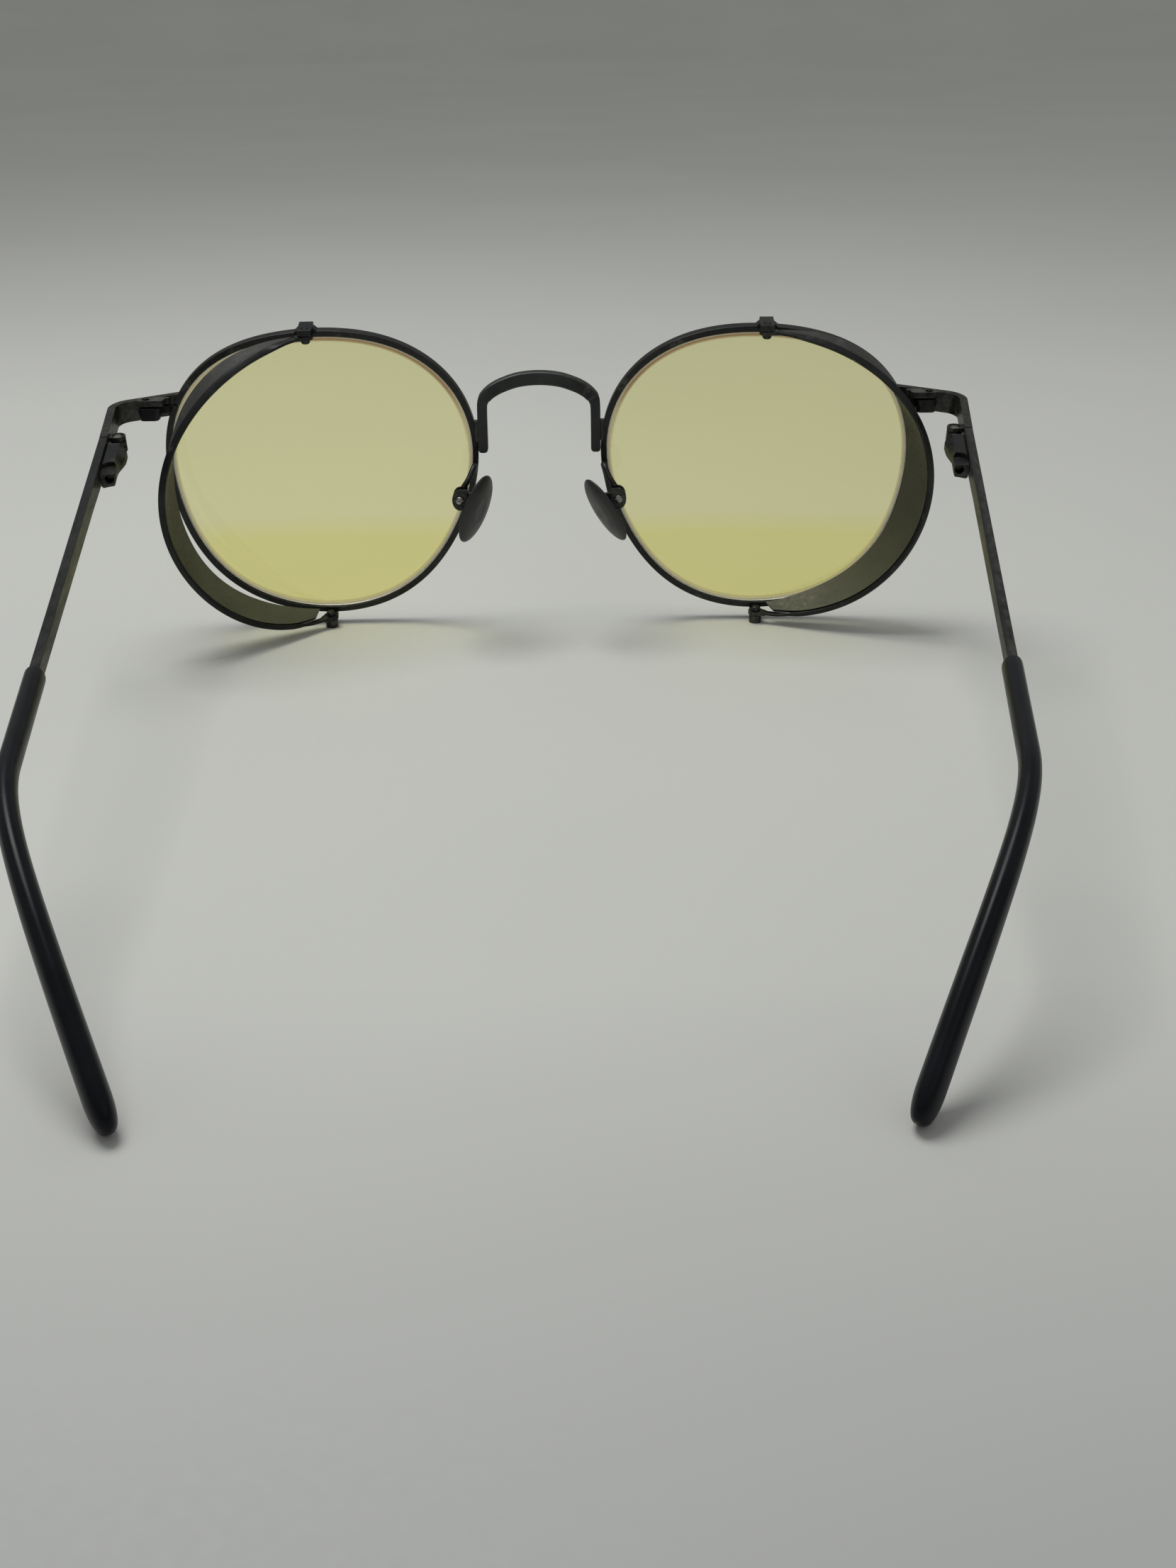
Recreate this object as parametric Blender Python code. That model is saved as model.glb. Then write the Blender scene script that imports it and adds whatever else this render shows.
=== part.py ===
# Round metal computer glasses with hinged side shields, standing open on their feet and tips.
# +Y is where the wearer looks, +X is the wearer's right, and Z is up.
# Every piece is drawn for the right side, and the left side is its mirror image.

import math

import bmesh
import bpy
from mathutils import Quaternion, Vector

MM = 0.001

# Gaps: brazed or screwed neighbours, running parts, and how far a cutter runs past its work
JOINT_GAP = 0.25 * MM
RUN_GAP = 0.15 * MM
OVERRUN = 2.0 * MM

# How finely the round and curved pieces are drawn
SCREW_SIDES = 16
WASHER_SIDES = 20
ROD_SIDES = 12
WIRE_SIDES = 8
FINE_WIRE_SIDES = 6
BEND_STEPS = 7
ARC_STEPS = 8
HOUSING_STEPS = 10
PAD_SIDES = 28
PAD_ARM_STEPS = 5
SHARP_EDGE = math.radians(35.0)

# Lens rims
RIM_RADIUS = 24.78 * MM
RIM_SHAPE_SHARES = ((2, 0.018, -0.014), (3, -0.002, 0.029), (4, -0.013, -0.003), (5, -0.003, 0.003))
RIM_DEPTH = 2.0 * MM
RIM_WALL = 0.95 * MM
RIM_EDGE = 0.12 * MM
GROOVE_DEPTH = 0.45 * MM
GROOVE_WIDTH = 1.2 * MM
RIM_TO_MIDDLE = 10.36 * MM
RIM_TO_GROUND = 2.0773 * MM
RIM_TILT = math.radians(6.8)
RIM_WRAP = math.radians(3.0)
RIM_STEPS = 60
SLIT_WIDTH = 0.3 * MM
SLIT_ANGLE = math.radians(28.6)

# Lenses
LENS_THICKNESS = 1.8 * MM
LENS_DOME = 1.0 * MM
LENS_EDGE = 1.0 * MM
LENS_BEVEL = 0.5 * MM
LENS_RING_SHARES = (0.85, 0.45)

# Bridge, with its points placed from the level of the rims' centres
BRIDGE_WIDTH = 2.1 * MM
BRIDGE_DEPTH = 2.2 * MM
BRIDGE_EDGE = 0.3 * MM
BRIDGE_LEG = Vector((9.1, 1.1, 3.19)) * MM
BRIDGE_CROWN = Vector((0, 2.7, 14.64)) * MM
BRIDGE_MIDDLES = (
    Vector((9.1, 1.15, 6.84)) * MM, Vector((9.07, 1.2, 10.34)) * MM, Vector((8.86, 1.25, 11.44)) * MM,
    Vector((8.4, 1.4, 12.09)) * MM, Vector((7.4, 1.7, 12.89)) * MM, Vector((5.8, 2.1, 13.64)) * MM,
    Vector((3.2, 2.5, 14.39)) * MM,
)
BRIDGE_STEPS = 2
BRIDGE_LUG_LOW = 4.94 * MM
BRIDGE_LUG_HIGH = 8.24 * MM
BRIDGE_LUG_DEPTH = 1.2 * MM
BRIDGE_LUG_REACH = 2.0 * MM

# End pieces, which run out from the rims, turn the corner and carry the hinge knuckles.
# Their points are placed from the slit in the rim.
STRAP_THICKNESS = 1.2 * MM
STRAP_HEIGHT = 3.2 * MM
STRAP_EDGE = 0.2 * MM
STRAP_PLACE = Vector((-1.32, 1.727, 1.566)) * MM
CORNER_PLACE = Vector((10.05, 0.297, 0.266)) * MM
CORNER_RADIUS = 2.2 * MM
TEMPLE_INWARD = math.radians(7.4)
TEMPLE_DROP = math.radians(7.9)

# Closing blocks, which the closing screw draws together over the slit in the rim.
# They are placed from the slit too.
BLOCK_OUTWARD = 1.58 * MM
BLOCK_LENGTH = 3.45 * MM
BLOCK_ABOVE = 1.17 * MM
BLOCK_UPPER_HEIGHT = 0.9 * MM
BLOCK_LOWER_HEIGHT = 1.95 * MM
BLOCK_BEHIND = 0.67 * MM
BLOCK_DEPTH = 2.5 * MM
BLOCK_TAPER = 0.35 * MM
BLOCK_EDGE = 0.67 * MM
BLOCK_LUG_REACH = 1.15 * MM
BLOCK_LUG_DEPTH = 0.9 * MM
BLOCK_LUG_FORWARD = 0.5 * MM
BLOCK_SCREW_OUTWARD = 2.2 * MM
BLOCK_SCREW_RADIUS = 0.45 * MM
BLOCK_SCREW_HEAD_RADIUS = 0.6 * MM
BLOCK_SCREW_HEAD_HEIGHT = 0.3 * MM

# Hinges
PIN_BACK = 13.7 * MM
PIN_INWARD = 1.32 * MM
KNUCKLE_RADIUS = 1.15 * MM
KNUCKLE_END_HEIGHT = 0.65 * MM
KNUCKLE_MID_HEIGHT = 0.8 * MM
PIN_RADIUS = 0.5 * MM
PIN_BORE_RADIUS = 0.65 * MM
PIN_HEAD_RADIUS = 0.75 * MM
PIN_HEAD_HEIGHT = 0.3 * MM
RETURN_PAST_PIN = 1.2 * MM
WEB_FRONT_SHARE = 0.9
WEB_BACK_SHARE = 0.8
HEAD_TOP_SHARE = 0.7

# Temples
ARM_THICKNESS = 1.2 * MM
ARM_EDGE = 0.2 * MM
ARM_HEIGHT_HINGE = 3.1 * MM
ARM_HEIGHT_MIDDLE = 2.5 * MM
ARM_HEIGHT_SLEEVE = 1.9 * MM
ARM_MIDDLE = 37.3 * MM
ARM_SLEEVE = 87.3 * MM
CORE_THICKNESS = 0.9 * MM
CORE_HEIGHT = 1.2 * MM
CORE_LENGTH = 20.0 * MM

# Spring-hinge housings on the inner faces of the temples
HOUSING_START = 3.6 * MM
HOUSING_LENGTH = 10.6 * MM
HOUSING_HEIGHT = 2.7 * MM
HOUSING_FRONT_WIDTH = 2.4 * MM
HOUSING_BELLY_WIDTH = 2.8 * MM
HOUSING_REAR_WIDTH = 2.1 * MM
HOUSING_BELLY = 1.6 * MM
HOUSING_TOP_WIDTH_SHARE = 0.72
HOUSING_FACET_SHARE = 0.33
HOUSING_EDGE = 0.25 * MM
HOUSING_AXIS_INWARD = 1.15 * MM
CHAMBER_RADIUS = 0.75 * MM
CHAMBER_WALL_START = 4.2 * MM
CHAMBER_WALL = 0.5 * MM
ROD_RADIUS = 0.3 * MM
SLIDER_BLOCK_WIDTH = 0.9 * MM
SLIDER_BLOCK_HEIGHT = 1.0 * MM
SLIDER_BLOCK_END = 6.8 * MM
SLIDER_HEAD_RADIUS = 0.55 * MM
SLIDER_HEAD_LENGTH = 0.5 * MM
SLIDER_LENGTH = 12.6 * MM
SPRING_RADIUS = 0.5 * MM
SPRING_WIRE = 0.24 * MM
SPRING_LENGTH = 3.0 * MM
SPRING_TURNS = 6
SPRING_TURN_STEPS = 8

# Temple tips
TIP_WIDTH = 2.15 * MM
TIP_HEIGHT = 3.0 * MM
TIP_END_WIDTH = 2.8 * MM
TIP_END_HEIGHT = 4.8 * MM
TIP_BEND = 106.5 * MM
TIP_CURVE_LENGTH = 37.8 * MM
TIP_CURVE_DROP = 18.31 * MM
TIP_CURVE_INWARD = 11.2 * MM
TIP_DROP_EASE_SHARE = 1.7
TIP_INWARD_EASE_SHARE = 0.41
TIP_STEPS = 16
TIP_END_LENGTH = 2.6 * MM
TIP_END_TURN = math.radians(75.0)
TIP_END_STEPS = 4
TIP_SIDES = 16

# Nose pads, their boxes, screws and wire arms, placed from the level of the rims' centres
PAD_SCREW_PLACE = Vector((12.6, -7.0, -2.36)) * MM
PAD_BOX_WIDTH = 2.4 * MM
PAD_BOX_HEIGHT = 3.3 * MM
PAD_BOX_DEPTH = 2.4 * MM
PAD_SLOT = 1.3 * MM
PAD_TAB = 0.9 * MM
PAD_TAB_RADIUS = 0.8 * MM
PAD_SCREW_RADIUS = 0.35 * MM
PAD_BORE_RADIUS = 0.5 * MM
PAD_HEAD_RADIUS = 0.62 * MM
PAD_HEAD_HEIGHT = 0.3 * MM
PAD_LENGTH = 11.2 * MM
PAD_WIDTH = 7.4 * MM
PAD_THICKNESS = 1.4 * MM
PAD_DOME_SHARES = ((-1, 0.8), (-0.6, 1), (0, 0.97), (0.6, 0.75), (1, 0.35))
PAD_PLACE = Vector((10.1, -7.6, -4.26)) * MM
PAD_SPLAY = math.radians(26.0)
PAD_FLARE = math.radians(31.0)
PAD_LEAN = math.radians(4.0)
PAD_ARM_WIRE = 0.9 * MM
PAD_ARM_ANGLE = math.radians(190.0)
PAD_ARM_STANDOFF = 1.1 * MM
PAD_ARM_BEND = Vector((10.3, -3.6, 2.04)) * MM
PAD_ARM_RISE = Vector((10.75, -0.9, -0.36)) * MM
PAD_ARM_FALL = Vector((11.2, -5.6, 0.44)) * MM
PAD_ARM_END_INWARD = 0.5 * MM
PAD_REST_ROCK = math.radians(5.0)

# Lugs and screws that the side shields turn on
PIVOT_U = 0.7 * MM
PIVOT_W = -1.65 * MM
LUG_WIDTH = 2.15 * MM
LUG_RISE = 0.96 * MM
LUG_BACK = 1.25 * MM
LUG_ABOVE_RIM = 0.03 * MM
LUG_EDGE = 0.2 * MM
TAB_THICKNESS = 0.55 * MM
TAB_RADIUS = 1.2 * MM
TAB_REACH = 1.9 * MM
FOOT_RADIUS = 1.03 * MM
FOOT_BELOW_RIM = 0.45 * MM
FOOT_LUG_WIDTH = 1.8 * MM
FOOT_LUG_HEIGHT = 0.9 * MM
FOOT_BORE_DEPTH = 0.9 * MM
PIVOT_SCREW_RADIUS = 0.4 * MM
PIVOT_BORE_RADIUS = 0.55 * MM
PIVOT_HEAD_RADIUS = 0.72 * MM
PIVOT_HEAD_HEIGHT = 0.6 * MM

# Side shields
SHIELD_OVERHANG = 2.2 * MM
SHIELD_REACH_POWER_SHARE = 0.964
SHIELD_ANGLE = math.radians(9.4)
SHIELD_TWIST = math.radians(8.4)
SHIELD_LEAN = math.radians(-4.0)
SHIELD_BAND_WIDTH = 1.05 * MM
SHIELD_BAND = 0.56 * MM
SHIELD_BAND_ROOT = 0.46 * MM
SHIELD_BAND_EDGE = 0.12 * MM
SHIELD_BAND_TURN = math.radians(45.0)
SHIELD_BAND_END = math.radians(87.6)
SHIELD_BAND_STEPS = 36
SHIELD_FLAT_REACH = 3.0 * MM
SHIELD_TURN_REACH = 8.0 * MM
SHIELD_PANEL = 0.7 * MM
SHIELD_PANEL_END = math.radians(84.0)
SHIELD_PANEL_INSET = 0.85 * MM
SHIELD_PANEL_SHIFT = 3.0 * MM
SHIELD_PANEL_GAP = 0.9 * MM
SHIELD_BULGE = 0.1 * MM
SHIELD_PANEL_STEPS = 24
SHIELD_PANEL_BANDS = 4
LEFT_SHIELD_OPEN = math.radians(24.2)

# Name, colour, roughness, metallic and alpha of each material
LOOKS = {
    "frame": ("dark gunmetal", (0.035, 0.036, 0.038), 0.45, 0.8, 1),
    "steel": ("screw steel", (0.25, 0.25, 0.25), 0.35, 1, 1),
    "lens": ("pale yellow lens", (0.85, 0.83, 0.5), 0.05, 0, 0.4),
    "tip": ("black tip", (0.012, 0.013, 0.018), 0.2, 0, 1),
    "pad": ("dark pad", (0.02, 0.02, 0.022), 0.5, 0, 1),
    "shield": ("olive shield", (0.09, 0.085, 0.055), 0.55, 0, 1),
}

# Directions of the right rim: outward to the temple, up and forward
RIM_OUT = Vector((math.cos(RIM_WRAP), -math.sin(RIM_WRAP), 0))
RIM_FORE = Vector((
    math.sin(RIM_WRAP) * math.cos(RIM_TILT),
    math.cos(RIM_WRAP) * math.cos(RIM_TILT),
    math.sin(RIM_TILT),
))
RIM_UP = RIM_OUT.cross(RIM_FORE)

# Directions of the right temple: back along the arm, up square to it, and inward
ARM_BACK = Vector((
    -math.sin(TEMPLE_INWARD),
    -math.cos(TEMPLE_INWARD) * math.cos(TEMPLE_DROP),
    -math.cos(TEMPLE_INWARD) * math.sin(TEMPLE_DROP),
))
ARM_UP = Vector((0, -math.sin(TEMPLE_DROP), math.cos(TEMPLE_DROP)))
ARM_IN = ARM_BACK.cross(ARM_UP)
if ARM_IN.x > 0:
    ARM_IN.negate()

SIDES = (("right", 1), ("left", -1))
X_AXIS = Vector((1, 0, 0))
Y_AXIS = Vector((0, 1, 0))
Z_AXIS = Vector((0, 0, 1))


def clear_scene():
    for obj in list(bpy.data.objects):
        bpy.data.objects.remove(obj, do_unlink=True)


def make_material(name, colour, roughness, metallic, alpha):
    material = bpy.data.materials.new(name)
    material.use_nodes = True
    shader = material.node_tree.nodes["Principled BSDF"]
    shader.inputs["Base Color"].default_value = (*colour, 1)
    shader.inputs["Roughness"].default_value = roughness
    shader.inputs["Metallic"].default_value = metallic
    shader.inputs["Alpha"].default_value = alpha
    return material


def outline_radius(angle):
    swell = sum(c * math.cos(k * angle) + s * math.sin(k * angle) for k, c, s in RIM_SHAPE_SHARES)
    return RIM_RADIUS + RIM_RADIUS * swell


def rim_point(u, v, w):
    centre_x = RIM_RADIUS + RIM_TO_MIDDLE
    return X_AXIS * centre_x + RIM_LEVEL + RIM_OUT * u + RIM_UP * v + RIM_FORE * w


def outline_point(angle, inset, w):
    radius = outline_radius(angle) - inset
    return rim_point(radius * math.cos(angle), radius * math.sin(angle), w)


# Places that follow from the size of the rim
RIM_LEVEL = Z_AXIS * (outline_radius(-math.pi / 2) * RIM_UP.z + RIM_TO_GROUND)
SLIT_PLACE = outline_point(SLIT_ANGLE, 0, 0)
STRAP_START = SLIT_PLACE + STRAP_PLACE
CORNER = SLIT_PLACE + CORNER_PLACE
PAD_SCREW = RIM_LEVEL + PAD_SCREW_PLACE
PAD_CENTRE = RIM_LEVEL + PAD_PLACE
LUG_BOTTOM_V = outline_radius(math.pi / 2) + LUG_ABOVE_RIM
FOOT_TOP_V = -outline_radius(-math.pi / 2) - FOOT_BELOW_RIM


def arm_point(back, inward, up):
    return CORNER + ARM_BACK * back + ARM_IN * inward + ARM_UP * up


def loft(sections, closed=False):
    """Skins a row of sections that have the same number of points, and caps both ends."""
    shape = bmesh.new()
    rings = [[shape.verts.new(point) for point in section] for section in sections]
    pairs = list(zip(rings, rings[1:]))
    if closed:
        pairs.append((rings[-1], rings[0]))
    for ring, following in pairs:
        for a in range(len(ring)):
            b = (a + 1) % len(ring)
            shape.faces.new((ring[a], ring[b], following[b], following[a]))
    if not closed:
        shape.faces.new(rings[0])
        shape.faces.new(rings[-1])
    return shape


def ellipse(width, height, steps):
    turns = [math.tau * (2 * step + 1) / (2 * steps) for step in range(steps)]
    return [(width / 2 * math.cos(turn), height / 2 * math.sin(turn)) for turn in turns]


def rectangle(width, height, edge):
    x = width / 2
    y = height / 2
    return [
        (x, y - edge), (x - edge, y), (edge - x, y), (-x, y - edge),
        (-x, edge - y), (edge - x, -y), (x - edge, -y), (x, edge - y),
    ]


def place(outline, origin, across, up):
    return [origin + across * a + up * b for a, b in outline]


def sweep(path, up, outlines):
    """Places one outline at each point of the path, square to it."""
    sections = []
    for index, point in enumerate(path):
        before = path[max(index - 1, 0)]
        after = path[min(index + 1, len(path) - 1)]
        along = (after - before).normalized()
        across = along.cross(up).normalized()
        sections.append(place(outlines[index], point, across, across.cross(along)))
    return sections


def turned(base, axis, profile, steps=SCREW_SIDES):
    """Turns (radius, height) pairs about an axis, from one flat end to the other."""
    across = axis.orthogonal().normalized()
    up = axis.cross(across)
    return [place(ellipse(2 * r, 2 * r, steps), base + axis * h, across, up) for r, h in profile]


def block(corner_a, corner_b, outline_axes, edge):
    """A box between two heights along the third axis, with its long edges eased."""
    across, up, along = outline_axes
    middle = (corner_a + corner_b) / 2
    size = corner_b - corner_a
    half = along * size.dot(along) / 2
    outline = rectangle(abs(size.dot(across)), abs(size.dot(up)), edge)
    return loft([place(outline, middle - half, across, up), place(outline, middle + half, across, up)])


def rounded(points, radius, steps):
    """The polyline with each inner corner turned into an arc."""
    path = [points[0]]
    for before, corner, after in zip(points, points[1:], points[2:]):
        into = (before - corner).normalized()
        out = (after - corner).normalized()
        half = into.angle(out) / 2
        reach = radius / math.tan(half)
        centre = corner + (into + out).normalized() * (radius / math.sin(half))
        start = corner + into * reach - centre
        end = corner + out * reach - centre
        sweep_angle = start.angle(end)
        axis = start.cross(end).normalized()
        for step in range(steps + 1):
            path.append(centre + Quaternion(axis, sweep_angle * step / steps) @ start)
    path.append(points[-1])
    return path


def smooth(points, steps):
    """A Catmull-Rom curve through the points."""
    padded = [points[0] * 2 - points[1], *points, points[-1] * 2 - points[-2]]
    path = []
    for a, b, c, d in zip(padded, padded[1:], padded[2:], padded[3:]):
        for step in range(steps):
            t = step / steps
            bend = (a * 2 - b * 5 + c * 4 - d) * (t * t)
            twist = (b * 3 - a - c * 3 + d) * (t * t * t)
            path.append((b * 2 + (c - a) * t + bend + twist) / 2)
    path.append(points[-1])
    return path


def add_empty(name, parent=None, world=Vector((0, 0, 0)), turn=None):
    empty = bpy.data.objects.new(name, None)
    bpy.context.scene.collection.objects.link(empty)
    empty.parent = parent
    empty.location = world
    if turn:
        empty.rotation_mode = "QUATERNION"
        empty.rotation_quaternion = turn
    return empty


def add_object(name, shape, side, body, material):
    """Makes an object of a right-side shape. Its origin is its body's empty."""
    for vert in shape.verts:
        vert.co = Vector((vert.co.x * side, vert.co.y, vert.co.z)) - body.location
    bmesh.ops.recalc_face_normals(shape, faces=shape.faces)
    mesh = bpy.data.meshes.new(name)
    shape.to_mesh(mesh)
    shape.free()
    mesh.shade_smooth()
    mesh.set_sharp_from_angle(angle=SHARP_EDGE)
    obj = bpy.data.objects.new(name, mesh)
    bpy.context.scene.collection.objects.link(obj)
    obj.parent = body
    if material:
        mesh.materials.append(material)
    return obj


def add_helper(name, shape, side, body):
    helper = add_object(name, shape, side, body, None)
    helper.hide_render = True
    helper.display_type = "WIRE"
    return helper


def combine(obj, helper, operation):
    modifier = obj.modifiers.new(helper.name, "BOOLEAN")
    modifier.operation = operation
    modifier.solver = "EXACT"
    modifier.object = helper


def cut(obj, helper):
    combine(obj, helper, "DIFFERENCE")


def fuse(obj, helper):
    combine(obj, helper, "UNION")


# The rim, its lens and the disc that trims what is brazed to the rim


def rim_outline():
    low = RIM_DEPTH / 2 - GROOVE_WIDTH / 2
    high = RIM_DEPTH / 2 + GROOVE_WIDTH / 2
    return (
        (0, RIM_EDGE), (0, RIM_DEPTH - RIM_EDGE), (RIM_EDGE, RIM_DEPTH),
        (RIM_WALL - RIM_EDGE, RIM_DEPTH), (RIM_WALL, RIM_DEPTH - RIM_EDGE), (RIM_WALL, high),
        (RIM_WALL - GROOVE_DEPTH, RIM_DEPTH / 2), (RIM_WALL, low), (RIM_WALL, RIM_EDGE),
        (RIM_WALL - RIM_EDGE, 0), (RIM_EDGE, 0),
    )


def make_rim():
    half_slit = SLIT_WIDTH / 2 / RIM_RADIUS
    start = SLIT_ANGLE + half_slit
    turn = math.tau - 2 * half_slit
    sections = []
    for step in range(RIM_STEPS + 1):
        angle = start + turn * step / RIM_STEPS
        sections.append([outline_point(angle, inset, w) for inset, w in rim_outline()])
    return loft(sections)


def make_rim_cutter():
    sections = []
    for w in (-JOINT_GAP, RIM_DEPTH + JOINT_GAP):
        angles = [math.tau * step / RIM_STEPS for step in range(RIM_STEPS)]
        sections.append([outline_point(angle, -JOINT_GAP, w) for angle in angles])
    return loft(sections)


def make_lens():
    middle = RIM_DEPTH / 2
    tip = RIM_WALL - GROOVE_DEPTH + JOINT_GAP
    edge = RIM_WALL + JOINT_GAP
    half_edge = LENS_EDGE / 2
    profile = []
    for share in reversed(LENS_RING_SHARES):
        profile.append((share, middle - half_edge + LENS_DOME * (1 - share * share)))
    profile.append((1, middle - half_edge))
    profile.append((1, middle - LENS_BEVEL / 2))
    profile.append((None, middle))
    profile.append((1, middle + LENS_BEVEL / 2))
    profile.append((1, middle + half_edge))
    for share in LENS_RING_SHARES:
        rise = (LENS_DOME + LENS_THICKNESS - LENS_EDGE) * (1 - share * share)
        profile.append((share, middle + half_edge + rise))
    sections = []
    for share, w in profile:
        section = []
        for step in range(RIM_STEPS):
            angle = math.tau * step / RIM_STEPS
            inner = outline_radius(angle) - (edge if share else tip)
            radius = inner * share if share else inner
            section.append(rim_point(radius * math.cos(angle), radius * math.sin(angle), w))
        sections.append(section)
    return loft(sections)


def add_rim_and_lens(name, side, bodies, looks):
    front = bodies["front"]
    add_object(name + "_eyewire", make_rim(), side, front, looks["frame"])
    add_object(name + "_lens", make_lens(), side, front, looks["lens"])
    return add_helper(name + "_rim_cutter", make_rim_cutter(), side, front)


# The bridge is one bent strip with a lug against each rim


def bridge_path():
    half = [BRIDGE_LEG, *BRIDGE_MIDDLES]
    other = [Vector((-point.x, point.y, point.z)) for point in reversed(half)]
    points = [RIM_LEVEL + point for point in (*half, BRIDGE_CROWN, *other)]
    return smooth(points, BRIDGE_STEPS)


def add_bridge(cutters, bodies, looks):
    front = bodies["front"]
    path = bridge_path()
    outline = rectangle(BRIDGE_DEPTH, BRIDGE_WIDTH, BRIDGE_EDGE)
    sections = []
    for index, point in enumerate(path):
        before = path[max(index - 1, 0)]
        after = path[min(index + 1, len(path) - 1)]
        along = (after - before).normalized()
        depth = (Y_AXIS - along * along.dot(Y_AXIS)).normalized()
        sections.append(place(outline, point, depth, along.cross(depth)))
    bridge = add_object("bridge", loft(sections), 1, front, looks["frame"])
    for name, side in SIDES:
        half = BRIDGE_LUG_DEPTH / 2
        low = RIM_LEVEL + Vector((BRIDGE_LEG.x, BRIDGE_LEG.y - half, BRIDGE_LUG_LOW))
        high = RIM_LEVEL + Vector((BRIDGE_LEG.x + BRIDGE_LUG_REACH, BRIDGE_LEG.y + half, BRIDGE_LUG_HIGH))
        lug = block(low, high, (Y_AXIS, Z_AXIS, X_AXIS), LUG_EDGE)
        fuse(bridge, add_helper(name + "_bridge_lug", lug, side, front))
    for cutter in cutters:
        cut(bridge, cutter)


# The end piece runs out from the rim, turns back and ends in two knuckles


def hinge_axis_point(up=0):
    return arm_point(PIN_BACK, ARM_THICKNESS + PIN_INWARD, up - ARM_HEIGHT_HINGE / 2)


def knuckle_half_height():
    return KNUCKLE_MID_HEIGHT / 2 + RUN_GAP + KNUCKLE_END_HEIGHT


def end_piece_path():
    drop = ARM_UP * (STRAP_HEIGHT / 2)
    inset = STRAP_THICKNESS / 2
    start = STRAP_START - Y_AXIS * inset - drop
    corner = CORNER + ARM_IN * inset - Y_AXIS * inset - drop
    end = arm_point(PIN_BACK + RETURN_PAST_PIN, inset, 0) - drop
    return rounded([start, corner, end], CORNER_RADIUS, BEND_STEPS)


def add_end_piece(name, side, cutter, bodies, looks):
    front = bodies["front"]
    path = end_piece_path()
    outline = rectangle(STRAP_THICKNESS, STRAP_HEIGHT, STRAP_EDGE)
    shape = loft(sweep(path, ARM_UP, [outline] * len(path)))
    piece = add_object(name + "_end_piece", shape, side, front, looks["frame"])
    cut(piece, cutter)
    for level, word in ((1, "upper"), (-1, "lower")):
        low = KNUCKLE_MID_HEIGHT / 2 + RUN_GAP
        base = hinge_axis_point(min(level * low, level * (low + KNUCKLE_END_HEIGHT)))
        outline = ((KNUCKLE_RADIUS, 0), (KNUCKLE_RADIUS, KNUCKLE_END_HEIGHT))
        disc = loft(turned(base, ARM_UP, outline, WASHER_SIDES))
        fuse(piece, add_helper(f"{name}_{word}_knuckle", disc, side, front))
        web_start = base - ARM_BACK * (KNUCKLE_RADIUS * WEB_FRONT_SHARE)
        web_end = base + ARM_BACK * (KNUCKLE_RADIUS * WEB_BACK_SHARE) + ARM_UP * KNUCKLE_END_HEIGHT
        web_end = web_end - ARM_IN * (PIN_INWARD + STRAP_THICKNESS / 2)
        web = block(web_start, web_end, (ARM_IN, ARM_UP, ARM_BACK), RIM_EDGE)
        fuse(piece, add_helper(f"{name}_{word}_web", web, side, front))
    bore_base = hinge_axis_point(-knuckle_half_height() - OVERRUN)
    bore_height = 2 * (knuckle_half_height() + OVERRUN)
    bore = loft(turned(bore_base, ARM_UP, ((PIN_BORE_RADIUS, 0), (PIN_BORE_RADIUS, bore_height))))
    cut(piece, add_helper(name + "_pin_bore", bore, side, front))
    sink_base = hinge_axis_point(knuckle_half_height() - PIN_HEAD_HEIGHT - RUN_GAP)
    sink_radius = PIN_HEAD_RADIUS + RUN_GAP
    sink = loft(turned(sink_base, ARM_UP, ((sink_radius, 0), (sink_radius, OVERRUN))))
    cut(piece, add_helper(name + "_pin_sink", sink, side, front))


def add_hinge_screw(name, side, bodies, looks):
    top = knuckle_half_height()
    profile = (
        (PIN_RADIUS, -top), (PIN_RADIUS, top - PIN_HEAD_HEIGHT), (PIN_HEAD_RADIUS, top - PIN_HEAD_HEIGHT),
        (PIN_HEAD_RADIUS, top - PIN_HEAD_HEIGHT / 2), (PIN_HEAD_RADIUS * HEAD_TOP_SHARE, top),
    )
    shape = loft(turned(hinge_axis_point(), ARM_UP, profile))
    add_object(name + "_hinge_screw", shape, side, bodies["front"], looks["steel"])


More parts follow.
